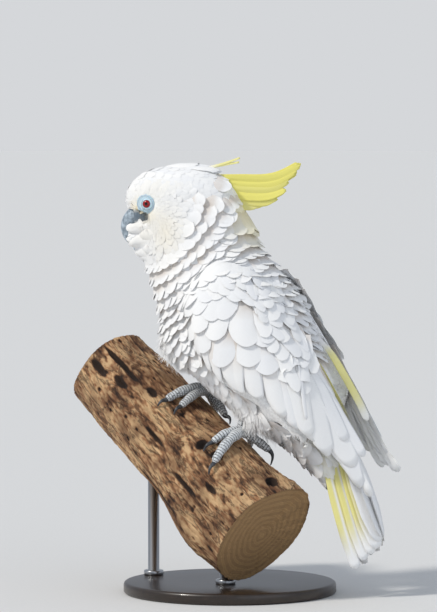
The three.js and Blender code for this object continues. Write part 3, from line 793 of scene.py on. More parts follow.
def blade(line, normals, half, thick, yellow, cup=0.0, tip=0.8, columns=6, tone=0.5, rng=None, split=0.0, stain=0.0):
    """One long feather as a closed thin body: line is its shaft, normals the face of the vane, half(share)
    half its width, yellow(share, t) its yellow share, cup the drop of its edges, stain the shade that goes
    with the yellow."""
    line = np.asarray(line, float)
    rows = len(line)
    tangent = unit(np.gradient(line, axis=0))
    side = unit(np.cross(unit(np.broadcast_to(normals, line.shape)), tangent))
    up = np.cross(tangent, side)
    s = np.linspace(0, 1, rows)[:, None]
    t = np.linspace(-1, 1, columns + 1)[None, :]
    w = half(s)
    back = tip * w * (1 - np.sqrt(1 - ROUND * t**2)) * s**4
    if split:
        back = back + split * rng.uniform(0, 1, (1, columns + 1)) * s**5
    height = -cup * w * t**2 + 0.5 * thick * bell(t / 0.16) * (1 - 0.7 * s)
    top = line[:, None] + side[:, None] * (w * t)[..., None] + up[:, None] * height[..., None]
    top = top - tangent[:, None] * back[..., None]
    under = top - up[:, None] * (thick * (1 - 0.8 * t**2) * (1 - 0.7 * s))[..., None]
    points = np.concatenate([top, under])
    uvs = feather_maps(line[:1], s, t, w * t, s * np.linalg.norm(line[-1] - line[0]))
    web = yellow(s, t)
    # painted shade: darker at the root; where stain is set, the yellow is darkened as well, with the shade colour, to
    # olive
    depth = np.maximum(0.25 * (1 - smoothstep(s, 0, 0.5)), stain * web)
    values = feather_values(top.shape[:2], web, 0.0, depth, tone)
    uvs = {k: np.concatenate([v[0], v[0]]) for k, v in uvs.items()}
    values = {k: np.concatenate([v, v]) for k, v in values.items()}
    return points, two_sided(rows, columns + 1), uvs, values


def tufts(roots, way, up, long, thin, stand, rng, barbs=5):
    """Downy tufts: sprays of thin barbs from each root that lie along the coat and lift at their ends."""
    count = len(roots) * barbs
    long, stand = (np.repeat(np.broadcast_to(v, len(roots)), barbs)[:, None, None] for v in (long, stand))
    roots, way, up = (np.repeat(v, barbs, 0) for v in (roots, way, up))
    fan = rng.uniform(-0.5, 0.5, (count, 1))
    way = unit(way + np.cross(up, way) * fan + up * rng.uniform(-0.05, 0.15, (count, 1)))
    side = unit(np.cross(up, way))
    s = np.linspace(0, 1, 5)[None, :, None]
    t = np.array([-1, 0, 1.0])[None, None, :]
    long = long * rng.uniform(0.7, 1.2, (count, 1, 1))
    half = thin / 2 * (1 - 0.85 * s**1.5)
    lift = stand * long * s**2 * rng.uniform(0.3, 1.3, (count, 1, 1)) + 0.5
    bend = rng.normal(0, 0.1, (count, 1, 1)) * s**2 * long
    points = off(roots, (way, long * s), (side, half * t + bend), (up, lift - 0.25 * thin * t**2))
    yellow, buff = (v[:, None, None] for v in markings(roots))
    tone = rng.uniform(0, 1, count)[:, None, None]
    # painted shade: the tufts darken towards their roots
    values = feather_values(points.shape[:3], yellow, buff, 0.5 * (1 - s), tone)
    return points, repeated(grid_faces(5, 3), count, 15), feather_maps(roots, s, t, half * t, long * s), values


def feather_piece(name, parts, slot="plumage", replaces=()):
    """One piece from several sets of feathers."""
    points, faces = joined([part[:2] for part in parts])
    uvs = {k: np.vstack([uv[k].reshape(-1, 2) for _, _, uv, _ in parts]) for k in parts[0][2]}
    values = {k: np.concatenate([np.ravel(value[k]) for *_, value in parts]) for k in parts[0][3]}
    return mesh_piece(name, points, faces, bpy.data.materials[FEATHER], slot, replaces, uvs, values)


# ------------------------------------------------------------------ finishes of the coat

FEATHER = "feather_keratin_grown"


def feather_material():
    """Feather keratin, grown: open vanes of fine barbs. The eye sees a matt, slightly translucent white
    with soft streaks along the barbs, painted warm shade where vanes lie under others, yellow where the pigment is."""
    p = settings("plumage")
    _, add = new_material(FEATHER)
    yellow, buff, depth, tone = (
        add("Attribute", attribute_name=name)["Fac"] for name in ("yellow", "buff", "depth", "tone")
    )
    vane = add("SeparateXYZ", {"Vector": add("UVMap", uv_map="Vane")["UV"]})
    wide = add("Math", {0: vane["X"]}, operation="ABSOLUTE")[0]
    # barbs run outwards and forwards from the shaft; real ones are 0.3 mm apart, drawn at 1 mm to show
    slant = add("Math", {0: vane["Y"], 1: wide}, operation="SUBTRACT")[0]
    barb = add("CombineXYZ", {"X": slant, "Y": vane["X"]})[0]
    barb = add("VectorMath", {0: barb, 1: (10.0, 0.9, 1.0)}, operation="MULTIPLY")[0]
    streaks = add("TexNoise", {"Vector": barb, "Scale": 1.0, "Detail": 2.0, "Roughness": 0.6})["Fac"]
    streak = add("MapRange", {"Value": streaks, "To Max": 0.16})[0]
    place = add("TexCoord")["Object"]
    cloud = add("TexNoise", {"Vector": place, "Scale": 60.0, "Detail": 3.0})["Fac"]  # lumps of 17 mm
    # painted shade: where vanes lie under others (depth), in lumps of 17 mm, the warm shade colour is mixed in
    deep = add("Math", {0: depth, 1: cloud}, operation="MULTIPLY")[0]
    deep = add("Math", {0: deep, 1: 0.75}, operation="MULTIPLY")[0]
    base = rgba(p.white)
    # the tints: random tone of each vane, painted shade, buff, yellow and the barbs' streaks
    tints_and_painted_shade = (
        (tone, rgba(p.white, (0.93, 0.94, 0.965))), (deep, rgba(p.shade)), (buff, rgba(p.buff)),
        (yellow, rgba(p.yellow)), (streak, rgba(linear("#CFC9BF"))),
    )
    for share, stain in tints_and_painted_shade:
        base = add("Mix", {0: share, 6: base, 7: stain}, data_type="RGBA")[2]
    finish_material(
        add, base, streaks, 0.35, 0.4, Roughness=0.78, IOR=1.45, Sheen_Weight=0.12, Sheen_Roughness=0.5,
        Specular_IOR_Level=0.25,
    )


def skin_material():
    """Down over skin: short soft down in the feathers' own colours, so that a gap between two vanes
    reads as deeper plumage."""
    p = settings("plumage")
    material, add = new_material("white_down_grown")
    place = add("TexCoord")["Object"]
    tuft = add("TexNoise", {"Vector": place, "Scale": 420.0, "Detail": 3.0})["Fac"]  # 2.4 mm tufts
    base = add("ValToRGB", {0: tuft}, [(0.25, rgba(p.white, 0.8)), (0.62, rgba(p.white))])["Color"]
    for name, stain in (("buff", p.buff), ("yellow", p.yellow), ("horn", settings("bare_parts").bill)):
        share = add("Attribute", attribute_name=name)["Fac"]
        base = add("Mix", {0: share, 6: base, 7: rgba(stain)}, data_type="RGBA")[2]
    finish_material(add, base, tuft, 0.6, 1.0, Roughness=0.9)
    return material


# ------------------------------------------------------------------ stage and skin

AZIMUTH, ELEVATION = math.radians(16), math.radians(3)
TARGET = Vector((-11.6, -3.3, 302)) * MM
LIGHTS = (  # name, place it shines from, angle that it fills in degrees, strength, colour
    ("key", (-1.5, -1.5, 2.3), 8, 2.05, "#FFFAF2"),
    ("fill", (2.6, -1.9, 1.0), 60, 0.6, "#E4EBF6"),
)
FLOOR_RINGS = (40000, 16000, 4000, 800, 40)  # radii


def place_facing(name, data, location, back):
    """A light or camera at a place, looking away from the vector back."""
    thing = bpy.data.objects.new(name, data)
    thing.location = location
    thing.rotation_mode = "QUATERNION"
    thing.rotation_quaternion = (-back).to_track_quat("-Z", "Y")
    bpy.context.scene.collection.objects.link(thing)
    return thing


class COCKATOO_OT_stage(bpy.types.Operator):
    """Floor, soft studio light, world and camera"""

    bl_idname = "cockatoo.stage"
    bl_label = "Stage, light and camera"

    def execute(self, context):
        studio = settings("studio")
        scene = bpy.context.scene
        scene.view_settings.view_transform = "Standard"
        scene.world = bpy.data.worlds.new("studio")
        add = node_adder(scene.world)
        sky = add("Background", {"Color": rgba(linear("#E4ECF8")), "Strength": 0.56})[0]
        wall = add("Background", {"Color": rgba(linear("#D5D7DA")), "Strength": 1.0})[0]
        seen = add("LightPath")["Is Camera Ray"]
        add("OutputWorld", {"Surface": add("MixShader", {0: seen, 1: sky, 2: wall})[0]})
        # matt paper, pressed: a plain pale ground with a faint 3 mm mottle
        material, add = new_material("matt_paper_floor")
        place = add("TexCoord")["Object"]
        grain = add("TexNoise", {"Vector": place, "Scale": 300.0, "Detail": 2.0})["Fac"]
        stops = [(0.3, rgba(studio.floor, 0.97)), (0.7, rgba(studio.floor))]
        finish_material(add, add("ValToRGB", {0: grain}, stops)["Color"], Roughness=0.9)
        rings = lathed([(radius, 0) for radius in FLOOR_RINGS], circle(96))
        floor = mesh_object("floor", rings, grid_faces(*rings.shape[:2], closed=True), material)
        for name, location, size, strength, hex_colour in LIGHTS:
            data = bpy.data.lights.new(name, "SUN")
            data.angle = math.radians(size)
            data.energy = strength
            data.color = linear(hex_colour)
            place_facing(name, data, location, Vector(location) - Vector((0.0, 0.0, 0.28)))
        level = math.cos(ELEVATION)
        back = Vector((math.sin(AZIMUTH) * level, -math.cos(AZIMUTH) * level, math.sin(ELEVATION)))
        data = bpy.data.cameras.new("camera")
        data.sensor_width = 36
        data.lens = data.sensor_width * studio.distance / studio.frame_height
        data.clip_end = 200
        scene.camera = place_facing("camera", data, TARGET + back * studio.distance, back)
        return {"FINISHED"}


class COCKATOO_OT_skin(bpy.types.Operator):
    """One skin over head, neck, trunk, thighs and wings"""

    bl_idname = "cockatoo.skin"
    bl_label = "Skin"

    def execute(self, context):
        feather_material()
        edges = make_skin(skin_material())
        surfaces["distance"] = distance_field(surfaces["skin"], edges)
        surfaces["bill"] = node_surface("bill_upper", "bill_lower")
        surfaces["perch"] = node_surface("perch")
        for side in SIDES:
            surfaces["wing_" + side] = node_surface("wing_" + side, "primaries_" + side)
            surfaces["sheet_" + side] = wing_sheet(side)
        return {"FINISHED"}


# ------------------------------------------------------------------ feathers of head and body

BODY_TOP = 258  # the ruff's rows end here and the breast's begin
FORECREST = (  # x, y and length of the lobes over the crown
    (-70, -7, 34), (-70, 2, 34), (-70, 9, 34), (-60, -9, 38), (-60, 0, 38), (-60, 8, 38), (-50, -11, 39),
    (-50, -3, 40), (-50, 6, 40), (-50, 12, 39), (-46, -7, 38), (-46, 1, 40), (-46, 9, 38),
)
CHIN_LOBES = (  # x, distance from the middle, z, length and width of the lobes beside the bill
    (-84, 24, 387, 25, 15), (-88, 22, 383.5, 21, 11), (-83, 23, 371.5, 24, 14), (-86, 21, 367, 20, 10),
    (-82, 22, 357.5, 19, 14), (-84, 20, 352, 15, 11), (-76, 24, 378, 15, 12), (-75, 24, 363, 15, 12),
)


def on_wing(points):
    """Which points lie under a folded wing."""
    near = mm("plumage", "coat_depth") + 0.7
    return (surfaces["wing_left"].distance(points) < near) | (surfaces["wing_right"].distance(points) < near)


def eye_distance(points):
    """Distance from the axis through both eyes, in side view."""
    p = turned(points, -1)
    return np.hypot(p[..., 0] - EYE_AT[0], p[..., 2] - EYE_AT[2])


def face_reach(points):
    """Distance from the middle of the face, in side view, a little flattened."""
    p = turned(points, -1)
    return np.hypot((p[..., 0] + 86) * 0.92, (p[..., 2] - 399) * 0.86)


def face_share(points):
    """1 on the face, where feathers are fine, 0 where the ruff begins."""
    return 1 - smoothstep(face_reach(points), 30, 42)


def crest_gap(points):
    """How far in front of the root of the crest a point of the head lies, along the head."""
    p = turned(points, -1)
    line = -10 + (437 - p[..., 2]) * 0.83
    return np.where(p[..., 2] > 404, line - p[..., 0], 99.0)


def crown_share(points):
    """1 on the forehead and crown, 0 below the level of the ear."""
    p = turned(points, -1)
    return smoothstep(p[..., 2], 412, 424) * smoothstep(eye_distance(points), 70, 60)


def bare_face(points):
    """Which points lie in the bare ring round an eye or where the bill shows."""
    p = turned(points, -1)
    ring = np.hypot((p[..., 0] - EYE_AT[0] - RING_BACK) / 1.1, p[..., 2] - EYE_AT[2]) < 9.3
    return ring | (gape(p) > 0.35)


def face_feathers(rng):
    """Hair-fine feathers round the bill and eye that grow broader towards the ruff."""

    def keep(p):
        on_head = (turned(p, -1)[:, 2] > 335) & (face_reach(p) < 41.5) & (crown_share(p) < 0.75)
        return on_head & ~bare_face(p) & (surfaces["bill"].distance(p) >= 2.5)

    def size(p):
        return smoothstep(np.minimum(eye_distance(p) + 8, face_reach(p)), 12, 44)

    skin, band = surfaces["skin"], mm("plumage", "face_band")
    step = lambda level: mix(band, 6.2, smoothstep(level, 8, 42))
    width = lambda p: mix(2.6, 11.0, size(p))
    roots = rows_of_roots(skin, surfaces["distance"], -12, 110, step, width, rng, keep)
    small = size(roots)
    return lay_vanes(
        roots, mix(6.0, 17.0, small) * rng.uniform(0.85, 1.15, len(roots)), mix(2.2, 12.0, small), skin, rng,
        rise=(0.0, mix(0.35, 2.2, small)), dome=mix(0.0, 0.12, small), rows=5, columns=4, tip=0.8,
        ragged=mix(0.12, 0.02, small), hidden=mix(0.05, 0.4, small), widest=0.45, taper=0.3, roll=0.03,
    )


def crown_feathers(rng):
    """Close short feathers of forehead and crown."""

    def keep(p):
        return (crown_share(p) >= 0.3) & ~bare_face(p) & (crest_gap(p) > 0)

    skin = surfaces["skin"]
    roots = rows_of_roots(skin, surfaces["distance"], -6, 150, lambda _: 4.2, lambda _: 9.0, rng, keep)
    front = smoothstep(turned(roots, -1)[:, 0], -105, -60)
    return lay_vanes(
        roots, mix(9, 19, front) * rng.uniform(0.9, 1.1, len(roots)), mix(5.0, 10.5, front), skin, rng,
        rise=(0.1, mix(0.7, 0.9, front)), dome=0.035, rows=5, columns=4, sway=0.05, tip=1.1, ragged=0.015,
        hidden=0.12, roll=0.01,
    )


def forecrest(rng):
    """White lobes folded back over the root of the crest."""
    x, y, long = np.array(FORECREST, float).T
    high = np.full(len(x), 462.0)
    root = turned(np.stack([x, y, high], 1))
    tip = turned(np.stack([x + 10, y, high - 0.16 * (x + 60)], 1))
    return lay_vanes(
        root, long, 17.0, surfaces["skin"], rng, way=unit(tip - root), rise=(0.6, 4.6), dome=0.17, rows=10,
        columns=8, sway=0.03, tip=0.75, ragged=0.02, hidden=0.1, roll=0.02,
    )


def chin_lobes(rng):
    """Puffed lobes that reach forward over the sides of the bill."""
    lobes = np.array([(x, sign * y, *rest) for sign in (-1, 1) for x, y, *rest in CHIN_LOBES])
    root = turned(lobes[:, :3])
    front = unit(turned(lobes[:, :3] + np.array([-10.0, 0, -1.5])) - root)
    return lay_vanes(
        root, lobes[:, 3], lobes[:, 4], surfaces["skin"], rng, way=front, rise=(0.2, 2.8), dome=0.17, rows=9,
        columns=8, sway=0.05, ragged=0.05, hidden=0.1, roll=0.04, root_width=0.7, widest=0.4,
    )


class COCKATOO_OT_head(bpy.types.Operator):
    """Hair-fine feathers of the face, the smooth crown and the lobes of crown and chin"""

    bl_idname = "cockatoo.head"
    bl_label = "Head feathers"

    def execute(self, context):
        rng = np.random.default_rng(11)
        feather_piece("face_feathers", [face_feathers(rng)])
        feather_piece("crown_feathers", [crown_feathers(rng), forecrest(rng), chin_lobes(rng)])
        return {"FINISHED"}


class COCKATOO_OT_neck(bpy.types.Operator):
    """Rows of broad rounded feathers round the neck"""

    bl_idname = "cockatoo.neck"
    bl_label = "Neck feathers"

    def execute(self, context):
        skin = surfaces["skin"]
        rng = np.random.default_rng(12)

        def keep(p):
            below_chin = (face_share(p) > 0.25) & (turned(p, -1)[:, 0] < -78)
            in_ruff = (face_share(p) < 0.5) & (crown_share(p) < 0.4) & ~below_chin
            return in_ruff & (p[:, 2] > BODY_TOP) & ~on_wing(p)

        def width(p):
            return mm("plumage", "neck_width") * mix(0.66, 1.0, smoothstep(turned(p, -1)[:, 0], -92, -62))

        band = mm("plumage", "neck_band")
        roots = rows_of_roots(skin, surfaces["distance"], 24, 330, lambda _: band, width, rng, keep, overlap=0.42)
        clear = smoothstep(crest_gap(roots), -2, 24)  # 0 under the crest
        size = width(roots) * rng.uniform(0.92, 1.1, len(roots)) * mix(0.5, 1, clear)
        near = smoothstep(face_reach(roots), 68, 38)
        ruff = lay_vanes(
            roots, size * mix(1.3, 0.68, near), size, skin, rng, rise=(0.0, mix(7.0, 4.4, near) * mix(0.3, 1, clear)),
            dome=0.13, curl=0.3, rows=8, columns=8, sway=0.09, tip=0.8, root_width=0.6, ragged=0.01,
            hidden=mix(0.05, 0.7, smoothstep(face_reach(roots), 38, 50)), roll=0.03, uneven=0.1,
        )
        feather_piece("neck_feathers", [ruff])
        return {"FINISHED"}


class COCKATOO_OT_body(bpy.types.Operator):
    """Softer feathers of the breast, belly, mantle and vent"""

    bl_idname = "cockatoo.body"
    bl_label = "Body feathers"

    def execute(self, context):
        skin = surfaces["skin"]
        rng = np.random.default_rng(13)

        def keep(p):
            return (p[:, 2] <= BODY_TOP) & ~on_wing(p) & (surfaces["perch"].distance(p) > 2)

        def width(p):
            return mm("plumage", "breast_width") * mix(1.0, 1.6, smoothstep(p[:, 0], 40, 90))

        band = mm("plumage", "breast_band")
        roots = rows_of_roots(skin, surfaces["distance"], 90, 520, lambda _: band, width, rng, keep, overlap=0.5)
        size = width(roots) * rng.uniform(0.85, 1.2, len(roots))
        loose = smoothstep(roots[:, 2], 218, 180) * smoothstep(roots[:, 0], 95, 70)
        breast = lay_vanes(
            roots, size * mix(1.6, 1.7, loose), size, skin, rng, rise=(0.1, mix(3.4, 4.6, loose)), dome=0.12,
            curl=mix(0.0, 0.3, loose), rows=7, sway=mix(0.12, 0.25, loose), tip=0.9,
            ragged=mix(0.02, 0.045, loose),
        )
        feather_piece("breast_feathers", [breast])
        return {"FINISHED"}


class COCKATOO_OT_down(bpy.types.Operator):
    """Downy tufts at the edge of the breast, on the thighs, round the ankles and on the cheek"""

    bl_idname = "cockatoo.down"
    bl_label = "Down"

    def execute(self, context):
        skin = surfaces["skin"]
        rng = np.random.default_rng(14)
        corners = skin.points[skin.triangles]
        area = np.linalg.norm(np.cross(corners[:, 1] - corners[:, 0], corners[:, 2] - corners[:, 0]), axis=1)
        pick = rng.choice(len(area), 12000, p=area / area.sum())
        share = rng.dirichlet((1, 1, 1), len(pick))
        every, up, _, _ = skin.nearest((corners[pick] * share[..., None]).sum(1))
        x, z = every[:, 0], every[:, 2]
        breast = smoothstep(x, -35, -62) * smoothstep(z, 300, 268) * smoothstep(z, 200, 222)
        thigh = np.zeros(len(every))
        for foot in FEET.values():
            ankle, hip = np.array(foot["ankle"], float), np.array(foot["hip"], float)
            bone = hip - ankle
            along = np.clip((every - ankle) @ bone / (bone @ bone), 0, 1)
            near = np.linalg.norm(every - ankle - along[:, None] * bone, axis=1)
            thigh = np.maximum(thigh, smoothstep(near, 30, 18) * smoothstep(along, 0.8, 0.2))
        strong = np.maximum(breast, thigh)
        chance = np.maximum(strong, 0.35 * smoothstep(z, 240, 200))
        keep = (rng.uniform(0, 1, len(every)) < chance) & ~on_wing(every)
        place, out, strong = every[keep], up[keep], strong[keep]
        way = lie_at(every, up)[keep]
        edge = tufts(place + out * 1.2, way, out, mix(8.0, 15.0, strong), 0.8, mix(0.12, 0.5, strong), rng)
        plain = turned(every, -1)
        line = np.abs(plain[:, 0] + 84 + 0.35 * (plain[:, 2] - 375)) < 4  # between the chin's lobes and the cheek
        line &= (rng.uniform(0, 1, len(every)) < 0.35) & (plain[:, 2] > 348) & (plain[:, 2] < 392)
        base, out, _, _ = skin.nearest(every[line & ~bare_face(every)])
        cheek = tufts(base + out * 1.2, lie_at(base, out), out, 5.5, 0.7, 0.25, rng, barbs=3)
        feather_piece("down", [edge, cheek])
        return {"FINISHED"}


# ------------------------------------------------------------------ wings

SIDE_ON = 150.0  # distance from the middle that the sheets are sought from
SECONDARIES = (  # tip x, tip z, angle back from straight down, length, width
    (-22, 248, -6, 52, 17), (-12, 230, -4, 60, 19), (0, 217, -2, 66, 19), (12, 210, 0, 72, 19),
    (25, 207, 2, 76, 20), (41, 203, 4, 80, 23), (61, 187, 7, 96, 23), (79, 174, 10, 106, 22),
    (92, 160, 13, 112, 18), (104, 144, 16, 122, 17), (116, 131, 18, 132, 17), (129, 121, 20, 142, 17),
    (142, 113, 21, 150, 16), (154, 107, 22, 158, 15),
)
TERTIALS = (
    (98, 168, 15, 112, 28), (117, 150, 19, 116, 31), (134, 134, 22, 124, 31), (150, 118, 22, 136, 25),
    (133, 165, 27, 100, 18), (144, 146, 26, 106, 16),
)
GREATER_COVERTS = (
    (-27, 268, -4, 34, 22), (-12, 255, -2, 38, 26), (10, 241, 0, 44, 32), (36, 243, 3, 44, 32),
    (57, 234, 6, 44, 28), (76, 226, 11, 44, 26), (93, 214, 16, 44, 20),
)
MEDIAN_COVERTS = (
    (-30, 290, -2, 30, 18), (-13, 277, 0, 38, 25), (7, 268, 1, 46, 26), (29, 262, 2, 50, 31),
    (52, 262, 5, 46, 29), (72, 256, 10, 42, 25), (90, 244, 16, 42, 19),
)
WING_BACK = (  # z and x of the rear edge
    (220, 116), (240, 105), (260, 94), (280, 83), (300, 72), (320, 56), (340, 30), (345, 22),
)


def wing_line(x, z, side):
    """The left wing's side-view places on either wing: the right one is held higher and further back."""
    if side == "left":
        return x, z
    along = WING_TIP - WING_TOP
    share = np.clip(((x - WING_TOP[0]) * along[0] + (z - WING_TOP[1]) * along[1]) / (along @ along), 0, 1)
    back, high = RIGHT_WING_LIFT
    return x + back * share - RIGHT_TIP_PULL * share**4, z + high * share


def wing_sheet(side):
    """A smooth sheet over the outside of the body and one folded wing, that the wing's feathers lie on."""
    sign = SIDES[side]
    x, z = np.meshgrid(np.arange(-70.0, 200.0, 4.0), np.arange(50.0, 366.0, 4.0))
    start = np.stack([x, np.full_like(x, sign * SIDE_ON), z], -1).reshape(-1, 3)
    out = np.full(len(start), -1.0)
    for name, over in (("wing_" + side, 0.0), ("skin", 1.0)):
        reach = surfaces[name].cast(start, (0, -sign, 0))[:, 1] * sign
        out = np.maximum(out, np.where(reach < SIDE_ON - 1, reach + over, -1.0))
    out = out.reshape(x.shape)
    known = out > 6
    out = np.where(known, out, 18.0)
    ways = [(k, axis) for k in (-1, 1) for axis in (0, 1)]
    around = lambda v: sum(np.roll(np.pad(v, 1, mode="edge"), k, axis)[1:-1, 1:-1] for k, axis in ways) / 4
    for _ in range(400):
        out = np.where(known, out, around(out))
    for _ in range(7):
        out = 0.5 * out + 0.5 * around(out)
    quads = grid_faces(*x.shape)
    triangles = np.vstack([quads[:, [0, 1, 2]], quads[:, [0, 2, 3]]])
    if sign > 0:
        triangles = triangles[:, ::-1]
    return Surface(np.stack([x, sign * out, z], -1).reshape(-1, 3), triangles)


def from_side(places, side):
    """Places (x, z) on the sheet over a wing, seen square from that side."""
    sign = SIDES[side]
    x, z = wing_line(*places.T, side)
    place = surfaces["sheet_" + side].cast(np.stack([x, np.full_like(x, sign * SIDE_ON), z], -1), (0, -sign, 0))
    place[np.abs(place[:, 1]) > SIDE_ON - 1, 1] = sign * 25.0
    return place


def wing_vanes(tips, angle, long, wide, side, rng, **looks):
    """Vanes on a wing from their tips (x, z), their angle back from straight down, and their sizes."""
    angle = np.radians(np.broadcast_to(angle, len(tips)))
    way = np.stack([np.sin(angle), -np.cos(angle)], -1)
    roots = from_side(tips - way * np.broadcast_to(long, len(tips))[:, None], side)
    shaft = from_side(tips, side) - roots
    long = np.linalg.norm(shaft, axis=1)
    return lay_vanes(roots, long, wide, surfaces["sheet_" + side], rng, way=unit(shaft), **looks)


def feather_row(table, side, rng, **looks):
    """Vanes of one row of a wing from its table."""
    table = np.array(table, float)
    tips = table[:, :2] + rng.uniform(-0.8, 0.8, (len(table), 2))
    return wing_vanes(tips, *table[:, 2:].T, side, rng, **looks)


def lesser_coverts(side, rng):
    """Small smooth feathers over the shoulder of the wing, so close that they hardly show."""
    tips = []
    for row in range(5):
        start, end = -37 + 0.8 * row, (14 + 13 * row if row < 4 else 14)
        x = np.linspace(start, end, int((end - start) / 15) + 2) + 7 * (row % 2) + rng.uniform(-2, 2)
        z = 346 - 13.0 * row - 0.12 * (x - start) + rng.uniform(-1.5, 1.5, len(x))
        tips.append(np.stack([x, z], -1))
    tips = np.vstack(tips)
    rear = smoothstep(tips[:, 0], 4, 50)
    return wing_vanes(
        tips, mix(2, 16, rear), 42, mix(32, 26, rear), side, rng, rise=(0.6, mix(3.2, 4.6, rear)), dome=0.04,
        rows=8, columns=8, ragged=0.01, hidden=0.1, roll=0.02, sway=mix(0.03, 0.1, rear),
    )


def scapulars(side, rng):
    """Ruffled feathers where the wing meets the back, with open slits between them."""
    high, back = np.array(WING_BACK, float).T
    tips = []
    for z in np.linspace(329.0, 232.0, 12):
        for step in range(3):
            at = z + rng.uniform(-3, 3) - 5 * step
            tips.append((np.interp(at, high, back) - 8 - 10.5 * step + rng.uniform(-2, 2), at))
    tips = np.array(tips)
    angle = rng.normal(25, 8, len(tips))
    long = rng.uniform(27, 41, len(tips)) * mix(0.85, 1, smoothstep(tips[:, 1], 320, 280))
    return wing_vanes(
        tips, angle, long, rng.uniform(12, 18, len(tips)), side, rng, rise=(0.6, 5.0), dome=0.07, rows=8,
        columns=8, tip=0.8, ragged=0.08, roll=0.08, hidden=0.3,
    )


def yellow_web(side):
    """The yellow inner web of the rearmost tertial, which shows between the wings on the right one."""
    knots = np.array([(92, 5.5, 272), (108, 6, 254), (124, 7, 228), (138, 8, 203), (147, 9, 184)], float)
    if side == "left":
        knots -= (12, 0, 9)
    # its yellow is darkened to olive with the shade colour (stain), a painted shade for where it lies between the
    # wings
    return blade(
        smooth_line(knots * (1, SIDES[side], 1), 30), np.array([0.5, -0.75 * SIDES[side], 0.3]),
        lambda s: 4.2 * mix(0.5, 1, smoothstep(s, 0, 0.4)), 0.6,
        lambda s, t: 0.75 * smoothstep(s, 0.1, 0.3) * (1 - 0.9 * smoothstep(s, 0.6, 0.95)),
        cup=0.1, tip=1.6, stain=0.9,
    )


def stray_feather(side, rng):
    """One thin white feather that hangs loose over the secondaries."""
    return wing_vanes(
        np.array([(93.0, 187.0)]), 9, 66, 4.5, side, rng, rise=(4.0, 4.8), rows=12, columns=4, tip=1.6, sway=0.0,
        thick=0.4, hidden=0.1,
    )


class COCKATOO_OT_wings(bpy.types.Operator):
    """Coverts and flight feathers of both folded wings"""

    bl_idname = "cockatoo.wings"
    bl_label = "Wing feathers"

    def execute(self, context):
        covert = {
            "dome": 0.07, "rows": 9, "columns": 8, "sway": 0.02, "roll": 0.02, "root_width": 0.7, "widest": 0.35,
            "tip": 0.7, "lean": 0.05,
        }
        quill = {"rows": 14, "columns": 8, "sway": 0.01, "roll": 0.01, "thick": 0.5}
        for number, side in enumerate(SIDES):
            rng = np.random.default_rng(30 + number)
            coverts = [
                feather_row(GREATER_COVERTS, side, rng, rise=(-0.8, 2.9), hidden=0.5, **covert),
                feather_row(MEDIAN_COVERTS, side, rng, rise=(-0.6, 3.9), hidden=0.4, **covert),
                lesser_coverts(side, rng),
                scapulars(side, rng),
            ]
            feather_piece("coverts_" + side, coverts)
            flight = [
                feather_row(
                    SECONDARIES, side, rng, rise=(-0.4, 1.5), dome=0.09, tip=0.75, lean=0.07, taper=0.12,
                    root_width=0.8, widest=0.3, **quill,
                ),
                feather_row(
                    TERTIALS, side, rng, rise=(0.4, 2.2), dome=0.02, tip=0.9, lean=0.02, taper=0.3, hidden=0.15,
                    root_width=0.3, widest=0.5, **quill,
                ),
                yellow_web(side),
                stray_feather(side, rng),
            ]
            feather_piece("flight_feathers_" + side, flight, replaces=["primaries_" + side])
        return {"FINISHED"}


# ------------------------------------------------------------------ tail and crest

TAIL_FEATHERS = 12
CREST_PLUMES = (  # shaft knots (x, z) from root to tip, half width, yellow
    (((-18, 438), (14, 435.5), (46, 437), (74, 451)), 4.6, 1.0),
    (((-14, 433), (16, 430), (44, 431.5), (70, 444)), 5.6, 1.0),
    (((-10, 427), (18, 424), (42, 425.5), (62, 435)), 5.6, 0.95),
    (((-6, 421), (18, 417.5), (40, 418), (59, 424.5)), 5.4, 1.0),
    (((-2, 416), (18, 412.5), (36, 412), (50, 416)), 5.2, 0.95),
    (((2, 412), (16, 409), (28, 408.5), (39, 411)), 4.6, 0.9),
    (((5, 408.5), (14, 406.5), (22, 406.5), (30, 408)), 3.8, 0.85),
)
LOOSE_PLUMES = (  # shaft knots (x, y, z) of the two vanes of the loose plume
    ((-34, -2, 445), (-16, -3, 449), (-4, -3, 452.5), (10, -3, 457.5)),
    ((-34, -2, 445), (-16, -3, 448.55), (-4, -3, 450.7), (9.3, -3, 453)),
)


